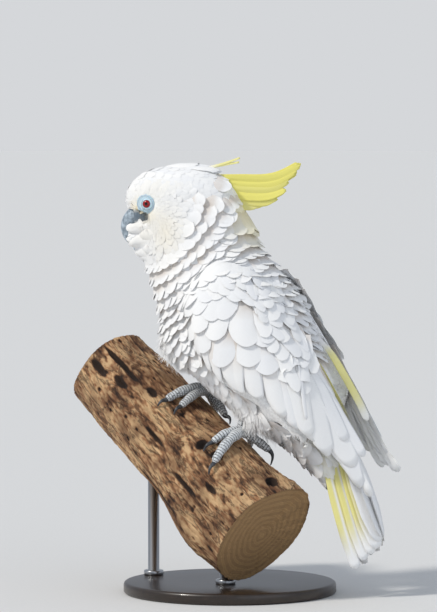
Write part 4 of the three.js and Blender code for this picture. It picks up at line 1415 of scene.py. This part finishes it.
class COCKATOO_OT_tail(bpy.types.Operator):
    """Twelve tail feathers, roofed over each other, with yellow inner webs"""

    bl_idname = "cockatoo.tail"
    bl_label = "Tail"

    def execute(self, context):
        rng = np.random.default_rng(41)
        along = unit(TAIL_TIP - TAIL_ROOT)
        down = np.array([along[2], 0, -along[0]])
        whole = np.linalg.norm(TAIL_TIP - TAIL_ROOT)
        share = np.linspace(-0.12, 1, 24)
        parts = []
        for k in range(TAIL_FEATHERS):
            across = -1 + 2 * k / (TAIL_FEATHERS - 1)
            outer = abs(across)
            reach = mix(0.96, 1.0 + 19 / whole, outer) + rng.uniform(-0.02, 0.02)
            drop = mix(22, 31, np.sqrt(np.clip(share, 0, 1))) * across**2 + 0.4 + 2.2 * outer
            line = TAIL_ROOT + along * (whole * share * reach)[:, None] + down * drop[:, None]
            line = line + ACROSS * (mix(13, 20, share) * across)[:, None]
            line = line + down * (1.3 if k == TAIL_FEATHERS // 2 else 0.0)
            normal = unit(-down + ACROSS * (2.2 * across if outer > 0.2 else 0.0))
            width = mix(17.0, 7.5, smoothstep(outer, 0.1, 0.7))

            def half(s, width=width):
                """Half the width of this feather."""
                return width * mix(0.55, 1, smoothstep(s, 0, 0.5)) * (1 - 0.25 * smoothstep(s, 0.75, 1))

            def yellow(s, t, outer=outer):
                """Yellow beside the shaft and out to the edge of the webs, gone at the tip."""
                web = smoothstep(np.abs(t), 0.1, 0.3)
                return 0.8 * web * (1 - smoothstep(s, 0.6, 0.95)) * smoothstep(outer, 0.3, 0.55)

            tone = rng.uniform(0, 1)
            # stain darkens the yellow webs to olive with the shade colour
            parts.append(
                blade(line, normal, half, 0.8, yellow, cup=0.05, tip=1.0, tone=tone, rng=rng, split=1.5, stain=0.9)
            )
        feather_piece("tail_feathers", parts, replaces=["tail"])
        return {"FINISHED"}


def crest_shaft(knots, sign, rng, across, count=22):
    """The shaft of a crest plume in the middle (sign 0) or laid over one side of the head."""
    wobble = rng.uniform(-0.8, 0.8, 2) if sign else np.array([-1.5, 1.0])
    x, z = (smooth_line(knots, count) + wobble * np.linspace(0, 1, count)[:, None]).T
    y = sign * np.linspace(3.4, 1.4, count)
    if sign:
        start = turned(np.stack([x, np.full(count, sign * 90.0), z], 1))
        reach = turned(surfaces["skin"].cast(start, -sign * across), -1)[:, 1] * sign
        reach = np.where(reach < 89, reach + 3.2, 0.0)
        reach = np.maximum.accumulate(reach[::-1])[::-1]
        reach = np.convolve(np.pad(reach, 3, mode="edge"), np.ones(7) / 7, "valid")
        y = sign * np.maximum(reach, np.abs(y))
    return turned(np.stack([x, y, z], 1))


class COCKATOO_OT_crest(bpy.types.Operator):
    """Lemon plumes swept back from the crown and curled up at their tips, and the loose plume over them"""

    bl_idname = "cockatoo.crest"
    bl_label = "Crest"

    def execute(self, context):
        rng = np.random.default_rng(51)
        across = turned(ACROSS) - turned(np.zeros(3))
        parts = []
        for knots, width, share in CREST_PLUMES:
            for sign in (-1, 1, 0):
                line = crest_shaft(knots, sign, rng, across)
                normal = unit(sign * across + UP * rng.uniform(-0.25, 0.25)) if sign else -across
                cup = 0.12 + 0.1 * rng.uniform(-1, 1)
                tone = rng.uniform(0, 0.4)

                def half(s, width=width):
                    """Half the width of this plume."""
                    return width * mix(0.5, 1, smoothstep(s, 0, 0.35)) * (1 - 0.3 * smoothstep(s, 0.65, 1))

                def yellow(s, t, share=share):
                    """Yellow all over but for the root."""
                    return share * smoothstep(s, 0.0, 0.12)

                parts.append(
                    blade(line, normal, half, 0.7, yellow, cup=cup, tip=1.3, tone=tone, rng=rng, split=3.0, columns=8)
                )
        feather_piece("crest_plumes", parts, "crest", replaces=["crest_upper", "crest_lower"])
        loose = [
            blade(
                turned(smooth_line(knots, 18)), np.array([0.0, -1.0, 0.3]), lambda s: 1.6 * mix(1, 0.7, s), 0.5,
                lambda s, t: 0.8 * smoothstep(s, 0.1, 0.5), columns=4,
            )
            for knots in LOOSE_PLUMES
        ]
        feather_piece("loose_plume", loose, "crest", replaces=["crest_loose_plume"])
        return {"FINISHED"}


# ------------------------------------------------------------------ bill and eyes

BILL_MIDDLE = (-92.5, 385)  # x and z of the middle of the upper bill's curve
BILL_OUTSIDE = 23.4  # radius of that curve's outer edge
BILL_DEPTH = 10.5  # half the upper bill's depth at its root
RING_RADII = (3.7, 4.15, 4.5, 4.9, 5.3, 5.7, 6.1, 6.5, 6.9, 7.3, 7.7, 8.1, 8.5, 8.9, 9.3, 9.8, 10.4, 11.0)


def bill_material():
    """Horn, grown and dusted with feather powder: satin slate grey under a pale bloom, laid here in patches
    (on the real bill it rubs off the ridge), with fine growth lines 1.2 mm apart across it."""
    b = settings("bare_parts")
    material, add = new_material("bill_horn_powdered")
    place = add("TexCoord")["Object"]
    bloom = add("TexNoise", {"Vector": place, "Scale": 230.0, "Detail": 4.0})["Fac"]
    base = add("ValToRGB", {0: bloom}, [(0.32, rgba(b.bill)), (0.62, rgba(b.powder))])["Color"]
    lines = add("TexWave", {"Vector": place, "Scale": 260.0, "Distortion": 3.0}, bands_direction="Z")["Fac"]
    finish_material(add, base, lines, 0.12, 0.2, Roughness=0.48, IOR=1.54)
    return material


def ridge(s, angle):
    """Relief of the upper bill: a keel along its top, growth ridges across it and fine flaking."""
    keel = 0.5 * bell((angle - 1.5 * math.pi) / 0.45)
    growth = 0.07 * np.sin(TAU * s * 26 + 2 * np.cos(angle))
    flakes = noise(np.stack(np.broadcast_arrays(s * 9, np.cos(angle) * 2, np.sin(angle) * 2), -1), 5, 3)
    return keel + growth + 0.12 * flakes


class COCKATOO_OT_bill(bpy.types.Operator):
    """Upper and lower bill"""

    bl_idname = "cockatoo.bill"
    bl_label = "Bill"

    def execute(self, context):
        material = bill_material()
        share = np.linspace(0, 1, 60)
        angle = np.radians(mix(74, 240, share))
        depth = lambda s: BILL_DEPTH * (1 - 0.72 * s**1.4)
        radius = BILL_OUTSIDE - depth(share)
        x, z = BILL_MIDDLE
        line = np.stack([x + radius * np.cos(angle), 0 * share, z + radius * np.sin(angle)], 1)
        upper = swept(
            turned(line), ACROSS, lambda s: 16.5 * (1 - 0.84 * s**0.8) * blunt(s, 0.06, 0.12) + 0.02,
            lambda s: depth(s) * blunt(s, 0.2, 0.12) + 0.02, 40, ridge,
        )
        mesh_piece("bill_upper_horn", *tube(upper), material, "bill", ["bill_upper"])
        knots = [(-84, 0, 369), (-94, 0, 361.5), (-103.5, 0, 364.5)]
        lower = swept(
            turned(smooth_line(knots, 30)), ACROSS, lambda s: mix(7.5, 4.5, s) * blunt(s) + 0.02,
            lambda s: 3.4 * blunt(s) + 0.02, 28,
        )
        mesh_piece("bill_lower_horn", *tube(lower), material, "bill", ["bill_lower"])
        return {"FINISHED"}


def eye_material():
    """Cornea over a pigmented iris: a wet, mirror-smooth dome over a black pupil, a red-brown iris with
    fine radial threads and a dark outer rim."""
    b = settings("bare_parts")
    material, add = new_material("cornea_wet")
    iris = add("UVMap", uv_map="Iris")["UV"]
    distance = add("VectorMath", {0: iris}, operation="LENGTH")["Value"]
    black = rgba((0.002, 0.002, 0.002))
    stops = [
        (0.0, black), (0.15, black), (0.175, rgba(b.iris, 0.75)), (0.34, rgba(b.iris)),
        (0.425, rgba(linear("#120504"))),
    ]
    base = add("ValToRGB", {0: distance}, stops)["Color"]
    threads = add("TexNoise", {"Vector": iris, "Scale": 40.0, "Detail": 3.0})["Fac"]
    threaded = {0: threads, 6: base, 7: (0.6, 0.55, 0.5, 1)}
    base = add("Mix", threaded, data_type="RGBA", blend_type="MULTIPLY")[2]
    finish_material(add, base, Roughness=0.2, IOR=1.38, Coat_Weight=0.45, Coat_Roughness=0.03)
    return material


def ring_material():
    """Bare wrinkled skin, living: powdery pale blue, satin, with painted shade in the hollows of its folds and painted
    highlight on their ridges.
    """
    blue = settings("bare_parts").ring
    material, add = new_material("bare_skin_living")
    painted_fold_shading = add("Attribute", attribute_name="painted_fold_shading")["Fac"]
    # the painted shading picks darker and lighter blues
    stops = [(0.1, rgba(blue, (0.45, 0.52, 0.6))), (0.6, rgba(blue)), (1.0, rgba(blue, 1.25))]
    base = add("ValToRGB", {0: painted_fold_shading}, stops)["Color"]
    place = add("TexCoord")["Object"]
    grain = add("TexNoise", {"Vector": place, "Scale": 1400.0, "Detail": 2.0})["Fac"]  # 0.7 mm
    finish_material(add, base, grain, 0.3, 0.2, Roughness=0.55, Subsurface_Weight=0.1, Subsurface_Scale=0.002)
    return material


def eye_ring(centre, fore, high, axis):
    """Grid of points of the bare ring, from the lid over the eyeball out on to the skin, and its painted shading,
    which follows the folds.
    """
    around = circle(48)
    grid, painted_fold_shadings = [], []
    for r in RING_RADII:
        stretch = smoothstep(r, 4.5, 9)
        upward = np.outer(r * np.sin(around), high)
        back = r * np.cos(around) * (1 + 0.06 * stretch) + RING_BACK * stretch
        spot = centre + np.outer(back, -fore) + upward
        place, up, _, _ = surfaces["skin"].nearest(spot + axis * 3)
        dome = centre + np.outer(r * np.cos(around), -fore) + upward
        dome = dome + axis * math.sqrt(max(EYE_RADIUS**2 - min(r, 5.6) ** 2, 1.0))
        lid = 0.55 * math.exp(-(((r - 4.75) / 0.45) ** 2)) - 0.5 * (r < 4.0)
        lower = 0.6 + 0.4 * smoothstep(-np.sin(around), -0.2, 0.6)
        fold = np.sin(TAU * (r - 4.7) / 1.3 + 0.5 * np.sin(3 * around)) * 0.2 * lower * (5 < r < 9.6)
        sink = -1.6 * smoothstep(r, 9.4, 11)
        grid.append(mix(dome, place + up * 1.1, smoothstep(r, 4.4, 7.2)) + axis * (lid + fold + sink)[:, None])
        # painted shading: darker in the hollows of the folds and inside the lid, lighter on the ridges of the folds
        # and on the lid's rim
        painted_fold_shadings.append(0.55 + fold * 1.6 + 0.3 * (abs(r - 4.75) < 0.4) - 0.5 * (r < 4.3))
    return np.array(grid), np.array(painted_fold_shadings)


class COCKATOO_OT_eyes(bpy.types.Operator):
    """Eyeballs and the wrinkled pale-blue ring of bare skin round each"""

    bl_idname = "cockatoo.eyes"
    bl_label = "Eyes"

    def execute(self, context):
        ball, bare = eye_material(), ring_material()
        polar = np.linspace(0.0, math.pi, 33)[1:-1, None]
        around = circle(48)
        local = np.sin(polar) * np.cos(around), np.sin(polar) * np.sin(around), np.cos(polar) + 0 * around
        local = np.stack(local, -1) * EYE_RADIUS
        x, y, z = EYE_AT
        for side, sign in SIDES.items():
            centre = turned((x, sign * y, z))
            axis = unit(turned((x - 0.12, sign * (y + 1), z + 0.02)) - centre)
            fore = unit(np.cross(UP, axis)) * -sign
            high = unit(np.cross(axis, fore)) * sign
            high = high if high[2] > 0 else -high
            points, faces = tube(centre + local @ np.array([fore, high, axis]))
            flat = (points - centre) @ np.array([fore, high]).T * TEN_MM
            uv = np.where(((points - centre) @ axis < 0)[:, None], 1.0, flat)
            uvs = {"Iris": uv, "OFBake": uv * 0.05 + 0.5}
            mesh_piece("eyeball_" + side, points, faces, ball, "eye", ["eye_" + side], uvs)
            grid, painted_fold_shadings = eye_ring(centre, fore, high, axis)
            faces = grid_faces(*painted_fold_shadings.shape, closed=True)
            faces = faces[:, ::-1] if sign < 0 else faces
            mesh_piece("eye_ring_" + side, grid, faces, bare, None, values={"painted_fold_shading": painted_fold_shadings})
        return {"FINISHED"}


# ------------------------------------------------------------------ log

LOG_HOLES = (  # along, degrees, reach along, reach round, depth
    (-105, 36, 6, 3, 5), (-140, 57, 8, 3, 6), (-10, 37, 4, 5, 7), (13, 34, 5, 4, 5), (72, 6, 5, 5, 8),
    (60, -22, 9, 4, 7), (79, -34, 5, 6, 8), (-160, 40, 26, 2, 6), (-176, 66, 12, 3, 5), (40, 62, 7, 2.5, 4),
    (-60, 70, 14, 1.6, 4), (10, 80, 16, 1.8, 4), (-30, 120, 26, 2, 5), (-120, 150, 22, 2, 5),
    (-60, -90, 22, 2, 5), (20, -120, 18, 2.4, 5), (-150, -60, 14, 2, 5),
)
PITS = 70  # small ones, scattered
CAP_SHARES = np.array([0.985, 0.93, 0.84, 0.74, 0.62, 0.5, 0.38, 0.26, 0.14, 0.05])  # of the radius
LENGTHWISE = 0.22  # the grain is drawn out along the log by the inverse of this


def log_frame():
    """Unit vectors of the log: its top and its side towards +Y."""
    top = unit(UP - LOG_DIRECTION * LOG_DIRECTION[2])
    side = unit(np.cross(top, LOG_DIRECTION))
    return top, (-side if side[1] > 0 else side)


def log_radius(along, angle):
    """Radius of the weathered log at a place along it and an angle round it from its top."""
    spot = np.clip((along - LOG_ENDS[0]) / (LOG_ENDS[1] - LOG_ENDS[0]), 0, 1) * (len(LOG_RADII) - 1)
    low = np.minimum(np.floor(spot).astype(int), len(LOG_RADII) - 2)
    radii = np.array(LOG_RADII, float)
    base = mix(radii[low], radii[low + 1], smoothstep(spot - low, 0, 1))
    base = base + 1.6 * np.sin(2 * angle + along / 60) + 1.1 * np.sin(3 * angle - along / 35 + 1)
    base = base + 0.7 * np.sin(5 * angle + along / 22)
    for place, turn, height, reach, spread in SWELLINGS:
        base = base + height * bell((along - place) / reach, wrapped(angle, turn) / math.radians(spread))
    return base


def log_point(along, angle, height=0.0):
    """Places on the log, or some height off it."""
    top, left = log_frame()
    along, angle = np.broadcast_arrays(np.asarray(along, float), np.asarray(angle, float))
    out = top * np.cos(angle)[..., None] + left * np.sin(angle)[..., None]
    radius = log_radius(along, angle) + height
    return LOG_POINT + LOG_DIRECTION * along[..., None] + out * radius[..., None]


def wood_material():
    """Weathered eucalypt wood, sun-bleached and split: matt, its colour following the relief, lighter on the ridges of
    its fibres and darker in its pits and hollows, painted highlight and painted shade over the grain's own tone, with
    thin dark cracks and grey-brown patches."""
    p = settings("perch")
    material, add = new_material("eucalypt_weathered")
    names = ("relief", "ring", "sawn", "lengthwise", "upward", "aside")
    relief, ring, sawn, *place = (add("Attribute", attribute_name=name)["Fac"] for name in names)
    # the places are in steps of 100 mm: fibres 6 mm apart, drawn coarser than real ones so that they show
    fibre = add("CombineXYZ", dict(enumerate(place)))[0]
    looks = {"Vector": fibre, "Distortion": 0.8}
    grain = add("TexNoise", {**looks, "Scale": 17.0, "Detail": 8.0, "Roughness": 0.76})["Fac"]
    # the colour follows the relief of the log's skin, varied by the grain: painted shade in hollows and pits, painted
    # highlight on the ridges
    height = add("Math", {0: grain, 1: relief, 2: relief}, operation="MULTIPLY_ADD")[0]
    stops = [
        (0.32, rgba(p.dark_wood)), (0.48, rgba(p.mid_wood, 0.5)), (0.61, rgba(p.mid_wood)), (0.79, rgba(p.light_wood)),
    ]
    base = add("ValToRGB", {0: height}, stops)["Color"]
    # cracks along the fibres, thin and dark, some 14 mm apart
    split = add("TexNoise", {**looks, "Scale": 7.0, "Detail": 5.0, "Roughness": 0.6})["Fac"]
    split = add("Math", {0: split, 1: 0.5}, operation="SUBTRACT")[0]
    split = add("Math", {0: split}, operation="ABSOLUTE")[0]
    split = add("MapRange", {"Value": split, "From Max": 0.035, "To Min": 0.75, "To Max": 0.0})[0]
    base = add("Mix", {0: split, 6: base, 7: rgba(p.dark_wood, 0.8)}, data_type="RGBA")[2]
    patch = add("TexNoise", {"Vector": add("TexCoord")["Object"], "Scale": 38.0, "Detail": 3.0})["Fac"]  # 26 mm
    patch = add("MapRange", {"Value": patch, "From Min": 0.4, "From Max": 0.62, "To Max": 0.9})[0]
    greyed = {0: patch, 6: base, 7: rgba(linear("#A2938B"))}
    base = add("Mix", greyed, data_type="RGBA", blend_type="MULTIPLY")[2]
    ring = add("Math", {0: ring, 1: TAU * 8}, operation="MULTIPLY")[0]  # growth rings 7 mm apart
    ring = add("Math", {0: ring}, operation="SINE")[0]
    stops = [(place, rgba(linear(stain))) for place, stain in ((0.0, "#A8845A"), (0.5, "#BC9768"), (1.0, "#B08B5E"))]
    saw_cut = add("ValToRGB", {0: ring}, stops)["Color"]
    base = add("Mix", {0: sawn, 6: base, 7: saw_cut}, data_type="RGBA")[2]
    finish_material(add, base, grain, 1.0, 5.0, Roughness=0.86)
    return material


def weathering(along, angle, depth, rng):
    """Height of the log's skin over its plain shape: fibres, plates, holes and pits, calmer under the feet."""
    radius = log_radius(along, angle)
    p = np.stack(np.broadcast_arrays(along, radius * np.cos(angle), radius * np.sin(angle)), -1)
    drift = noise(p / 40, 3) * 9
    q = p + np.stack([drift * 0, drift, drift], -1) * 0.35
    fibre = noise(q / np.array([17, 3.0, 3.0]), 21, 3)
    plate = smoothstep(noise(q / np.array([20, 9, 9]), 22, 3), -0.08, 0.12)
    fine = noise(q / np.array([5, 1.8, 1.8]), 23, 2)
    height = depth * (0.6 * fibre + 0.22 * (plate - 0.7) + 0.45 * fine)
    lowest, highest = np.array([(-190, 84), (-180, 180), (1.5, 4), (1.0, 1.8), (1.2, 2.6)]).T
    lump = 1 + 0.35 * noise(p / 5, 31)
    pit = np.zeros_like(height)
    for place, turn, reach, spread, deep in (*LOG_HOLES, *rng.uniform(lowest, highest, (PITS, 5))):
        away = wrapped(angle, turn) * radius
        pit += deep * np.exp(-((((along - place) / reach) ** 2 + (away / spread) ** 2) * lump) ** 1.4)
    feet = np.zeros_like(height)
    for foot in FEET.values():
        away = wrapped(angle, foot["angle"]) * radius
        feet = np.maximum(feet, np.exp(-(((along - foot["along"]) / 26) ** 2 + (away / 34) ** 2) ** 2))
    return np.minimum(height, 0.9) * (1 - 0.6 * feet) - pit


def sawn_end(rim, end, angle):
    """Rings over one end of the log inside its rim, with their relief and place among the growth rings."""
    centre = LOG_POINT + LOG_DIRECTION * LOG_ENDS[end]
    rings = np.array([centre + (rim - centre) * share for share in CAP_SHARES])
    crack = noise(np.stack([np.cos(angle) * 5, np.sin(angle) * 5, 0 * angle], -1), 40 + end)
    crack = np.outer(CAP_SHARES > 0.3, np.clip(crack, 0.25, 1) - 0.25)
    dip = 0.2 * noise(rings / 6, 42, 2) + 0.2 + crack * 3
    growth = CAP_SHARES[:, None] + 0.09 * noise(rings / 26, 43, 2)
    # the second value is lower in the cracks, a painted shade that the sawn colour covers on the ends
    return rings + (-1 if end else 1) * LOG_DIRECTION * dip[..., None], np.clip(0.9 - crack * 2, 0, 1), growth


class COCKATOO_OT_perch(bpy.types.Operator):
    """Log with weathered fibres, flakes, cracks, pits and sawn ends"""

    bl_idname = "cockatoo.perch"
    bl_label = "Log"

    def execute(self, context):
        depth = mm("perch", "relief")
        along = np.linspace(*LOG_ENDS, 230)[:, None]
        angle = circle(260)[None, :]
        height = weathering(along, angle, depth, np.random.default_rng(61))
        side = log_point(along, angle, height)
        # relief: the skin's height, by which the wood is coloured, painting shade into hollows and pits and highlight
        # onto ridges
        relief = np.clip(0.5 + height / (2.2 * depth), 0, 1)
        first, last = (sawn_end(side[-end], end, angle[0]) for end in (0, 1))
        rows, relief, ring = (
            np.concatenate([start[::-1], middle, finish])
            for start, middle, finish in zip(first, (side, relief, np.zeros_like(relief)), last)
        )
        sawn = np.ones_like(ring)
        sawn[len(CAP_SHARES) : -len(CAP_SHARES)] = 0
        points, faces = tube(rows)
        local = [(points - LOG_POINT) @ way / 100 for way in (LOG_DIRECTION * LENGTHWISE, *log_frame())]
        values = dict(zip(("lengthwise", "upward", "aside"), local))
        for name, value, cap in (("relief", relief, 0.9), ("ring", ring, 0), ("sawn", sawn, 1)):
            values[name] = np.concatenate([value.ravel(), [cap, cap]])
        mesh_piece("log", points, faces, wood_material(), "log", ["perch"], values=values)
        return {"FINISHED"}


# ------------------------------------------------------------------ feet


def foot_material():
    """Reticulate scales, grown: dry satin grey-white scutes with dark skin between them."""
    b = settings("bare_parts")
    material, add = new_material("scutes_grown")
    scute = add("Attribute", attribute_name="scute")["Fac"]
    powder = add("TexNoise", {"Vector": add("TexCoord")["Object"], "Scale": 500.0, "Detail": 3.0})["Fac"]  # 2 mm
    mixed = add("Math", {0: scute, 1: powder}, operation="MULTIPLY")[0]
    stops = [(0.08, rgba(b.gap)), (0.24, rgba(b.scute, 0.42)), (0.5, rgba(b.scute)), (0.75, rgba(linear("#D8DBDC")))]
    base = add("ValToRGB", {0: mixed}, stops)["Color"]
    finish_material(add, base, powder, 0.2, 0.3, Roughness=0.5)
    return material


def mottled_material(name, stops, scale_mm, strength, **looks):
    """A natural solid whose colour wanders over colour stops in patches of that size."""
    material, add = new_material(name)
    place = add("TexCoord")["Object"]
    patches = add("TexNoise", {"Vector": place, "Scale": 1 / (scale_mm * MM), "Detail": 3.0})["Fac"]
    fine = add("TexNoise", {"Vector": place, "Scale": 4 / (scale_mm * MM), "Detail": 3.0})["Fac"]
    finish_material(add, add("ValToRGB", {0: patches}, stops)["Color"], fine, strength, 0.1, **looks)
    return material


def scuted(line, across, radius, top, pitch=3.0):
    """A scaly tube along a line: cross bands over its top, small staggered scales at its sides."""
    whole = np.linalg.norm(np.diff(line, axis=0), axis=1).sum()
    rows, sides = max(12, int(whole * 2.2)), 36
    line = smooth_line(line, rows)
    rings = swept(line, across, radius, radius, sides)
    out = unit(rings - line[:, None])
    along = (np.linspace(0, 1, rows) * whole / pitch)[:, None]
    band = np.floor(along)
    cell = np.linspace(0, 11, sides, endpoint=False)[None] + 0.5 * (band % 2)
    over = np.abs(along - band - 0.5) * 2
    beside = np.abs(cell - np.floor(cell) - 0.5) * 2
    edge = np.maximum(over, np.where((out * unit(top)).sum(-1) > 0.45, 0, beside))
    scute = 1 - smoothstep(edge, 0.62, 0.98)
    points, faces = tube(rings + out * (0.42 * (scute - 0.6))[..., None])
    return points, faces, np.concatenate([scute.ravel(), [0.5, 0.5]])


def toe_line(foot, toe):
    """A toe's centre line over the log, from under the foot to its tip."""
    along, turn, radius, lift = toe
    share = np.linspace(0, 1, 10)
    r = radius * mix(1, 0.72, share)
    arch = 2.2 * np.sin(math.pi * share) + (SOLE_TO_FOOT - r - 1) * (1 - share) ** 3
    turn = np.radians(foot["angle"] + turn * share)
    return log_point(foot["along"] + along * share, turn, r + arch + 0.4 + lift * share**2)


def claw_rings(foot, toe):
    """Rings of a claw that curves from inside a toe's tip down to the log."""
    along, turn, _, lift = toe
    size = math.hypot(along, turn)
    share = np.linspace(-0.25, 1, 14)
    ahead = np.maximum(0, share)
    height = 4.2 + 2.2 * np.sin(math.pi * ahead) - 3 * share**3 + lift * (1 - ahead)
    angle = np.radians(foot["angle"] + turn + turn / size * 12 * share)
    line = log_point(foot["along"] + along + along / size * 12 * share, angle, height)
    return swept(
        smooth_line(line, 26), LOG_DIRECTION, lambda s: 2.9 * (1 - 0.78 * s) * blunt(s, 0.15, 0.05) + 0.02,
        lambda s: 3.1 * (1 - 0.8 * s) * blunt(s, 0.15, 0.05) + 0.02, 20,
    )


class COCKATOO_OT_feet(bpy.types.Operator):
    """Scaly feet, two toes forward and two back, with their claws"""

    bl_idname = "cockatoo.feet"
    bl_label = "Feet and claws"

    def execute(self, context):
        scales = foot_material()
        # claw horn, grown: dark and satin, paler in patches of 4 mm
        stops = [(0.3, rgba(settings("bare_parts").claw)), (0.75, rgba(linear("#5A5E63")))]
        horn = mottled_material("claw_horn_grown", stops, 4, 0.2, Roughness=0.32, Coat_Roughness=0.1)
        for side, foot in FEET.items():
            place = foot["along"], math.radians(foot["angle"])
            sole = log_point(*place, SOLE_TO_FOOT)
            normal = unit(log_point(*place, 500) - sole)
            shank = np.array([mix(sole, np.array(foot["ankle"]), k) for k in (-0.15, 0.1, 0.4, 0.7, 1.0)])
            thick = lambda s: 6.6 * blunt(s, 0.22, 0.1) * mix(1.2, 0.95, s) + 0.05
            pieces = {"foot_" + side: scuted(shank, ACROSS, thick, (-1.0, 0, 0.2), 3.4)}
            for name, toe in TOES[side].items():
                line = toe_line(foot, toe)
                knuckles = lambda s: mix(1, 0.72, s) * (1 + 0.07 * np.cos(6 * math.pi * s))
                thick = lambda s, radius=toe[2]: radius * knuckles(s) * blunt(s, 0.12, 0.14) + 0.05
                pieces[f"toe_{side}_{name}"] = scuted(line, unit(np.cross(line[-1] - line[0], normal)), thick, normal)
            for name, (points, faces, scute) in pieces.items():
                mesh_piece("scaly_" + name, points, faces, scales, "foot_skin", [name], values={"scute": scute})
            for name, toe in TOES[side].items():
                rings = claw_rings(foot, toe)
                mesh_piece(f"horn_{side}_{name}", *tube(rings), horn, "claw", [f"claw_{side}_{name}"])
        return {"FINISHED"}


# ------------------------------------------------------------------ stand

BASE_PROFILE = (  # radius and height, with a rounded upper edge
    (100, 0), (108, 0), (110.8, 0.6), (112, 2), (112, 8.6), (111.4, 10.6), (110, 11.7), (108, 12), (60, 12), (10, 12),
)
COLLAR_PROFILE = ((10, 12.1), (10.5, 12.6), (10.5, 16.4), (10, 17), (6, 17.3))
RODS_ALONG = {"stand_rod_upper": -112, "stand_rod_lower": 22}  # where each rod meets the log


class COCKATOO_OT_stand(bpy.types.Operator):
    """Round base and two steel rods"""

    bl_idname = "cockatoo.stand"
    bl_label = "Stand"

    def execute(self, context):
        stand = settings("stand")
        # beech, turned, stained and waxed: dark, satin, with faint growth figure 9 mm across
        stops = [(0.35, rgba(stand.wood, 0.6)), (0.7, rgba(stand.wood))]
        looks = {"Roughness": 0.38, "Coat_Weight": 0.25, "Coat_Roughness": 0.1}
        wood = mottled_material("beech_turned_stained", stops, 9, 0.15, **looks)
        angle = circle(160)
        mesh_piece("turned_base", *tube(lathed(BASE_PROFILE, angle)), wood, "base_wood", ["stand_base"])
        # stainless steel, brushed: bright, with fine lines 0.4 mm apart along it
        steel, add = new_material("stainless_steel_brushed")
        place = add("VectorMath", {0: add("TexCoord")["Object"], 1: (2500.0, 2500.0, 40.0)}, operation="MULTIPLY")[0]
        lines = add("TexNoise", {"Vector": place, "Scale": 1.0, "Detail": 2.0})["Fac"]
        stops = [(0.3, rgba(stand.steel, 0.8)), (0.7, rgba(stand.steel))]
        base = add("ValToRGB", {0: lines}, stops)["Color"]
        finish_material(add, base, lines, 0.1, 0.1, Metallic=1.0, Roughness=0.3)
        for name, along in RODS_ALONG.items():
            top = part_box(name)[1].z / MM - 0.5
            centre = LOG_POINT + LOG_DIRECTION * along
            rings = lathed((*COLLAR_PROFILE, (6, top)), angle[::3], centre)
            mesh_piece("turned_" + name, *tube(rings), steel, "rod_steel", [name])
        return {"FINISHED"}


# ------------------------------------------------------------------ panel and registration

OPERATORS = [
    COCKATOO_OT_stage,
    COCKATOO_OT_skin,
    COCKATOO_OT_head,
    COCKATOO_OT_neck,
    COCKATOO_OT_body,
    COCKATOO_OT_down,
    COCKATOO_OT_wings,
    COCKATOO_OT_tail,
    COCKATOO_OT_crest,
    COCKATOO_OT_bill,
    COCKATOO_OT_eyes,
    COCKATOO_OT_perch,
    COCKATOO_OT_feet,
    COCKATOO_OT_stand,
]


class COCKATOO_PT_panel(bpy.types.Panel):
    """Lists the steps of the model"""

    bl_idname = "COCKATOO_PT_panel"
    bl_label = "Cockatoo on a log"
    bl_space_type = "VIEW_3D"
    bl_region_type = "UI"
    bl_category = "Cockatoo"

    def draw(self, context):
        for operator in OPERATORS:
            self.layout.operator(operator.bl_idname)
        for group, kind in SETTINGS.items():
            box = self.layout.box()
            for name in kind.__annotations__:
                box.prop(settings(group), name)


def register():
    """Registers the settings, operators and panel."""
    for group, kind in SETTINGS.items():
        bpy.utils.register_class(kind)
        setattr(bpy.types.Scene, "cockatoo_" + group, bpy.props.PointerProperty(type=kind))
    for kind in (*OPERATORS, COCKATOO_PT_panel):
        bpy.utils.register_class(kind)


def unregister():
    """Removes what register added."""
    for kind in (COCKATOO_PT_panel, *reversed(OPERATORS)):
        bpy.utils.unregister_class(kind)
    for group, kind in reversed(SETTINGS.items()):
        delattr(bpy.types.Scene, "cockatoo_" + group)
        bpy.utils.unregister_class(kind)


def main():
    """Builds the whole model."""
    register()
    for operator in OPERATORS:
        group, name = operator.bl_idname.split(".")
        getattr(getattr(bpy.ops, group), name)()


if __name__ == "__main__":
    main()
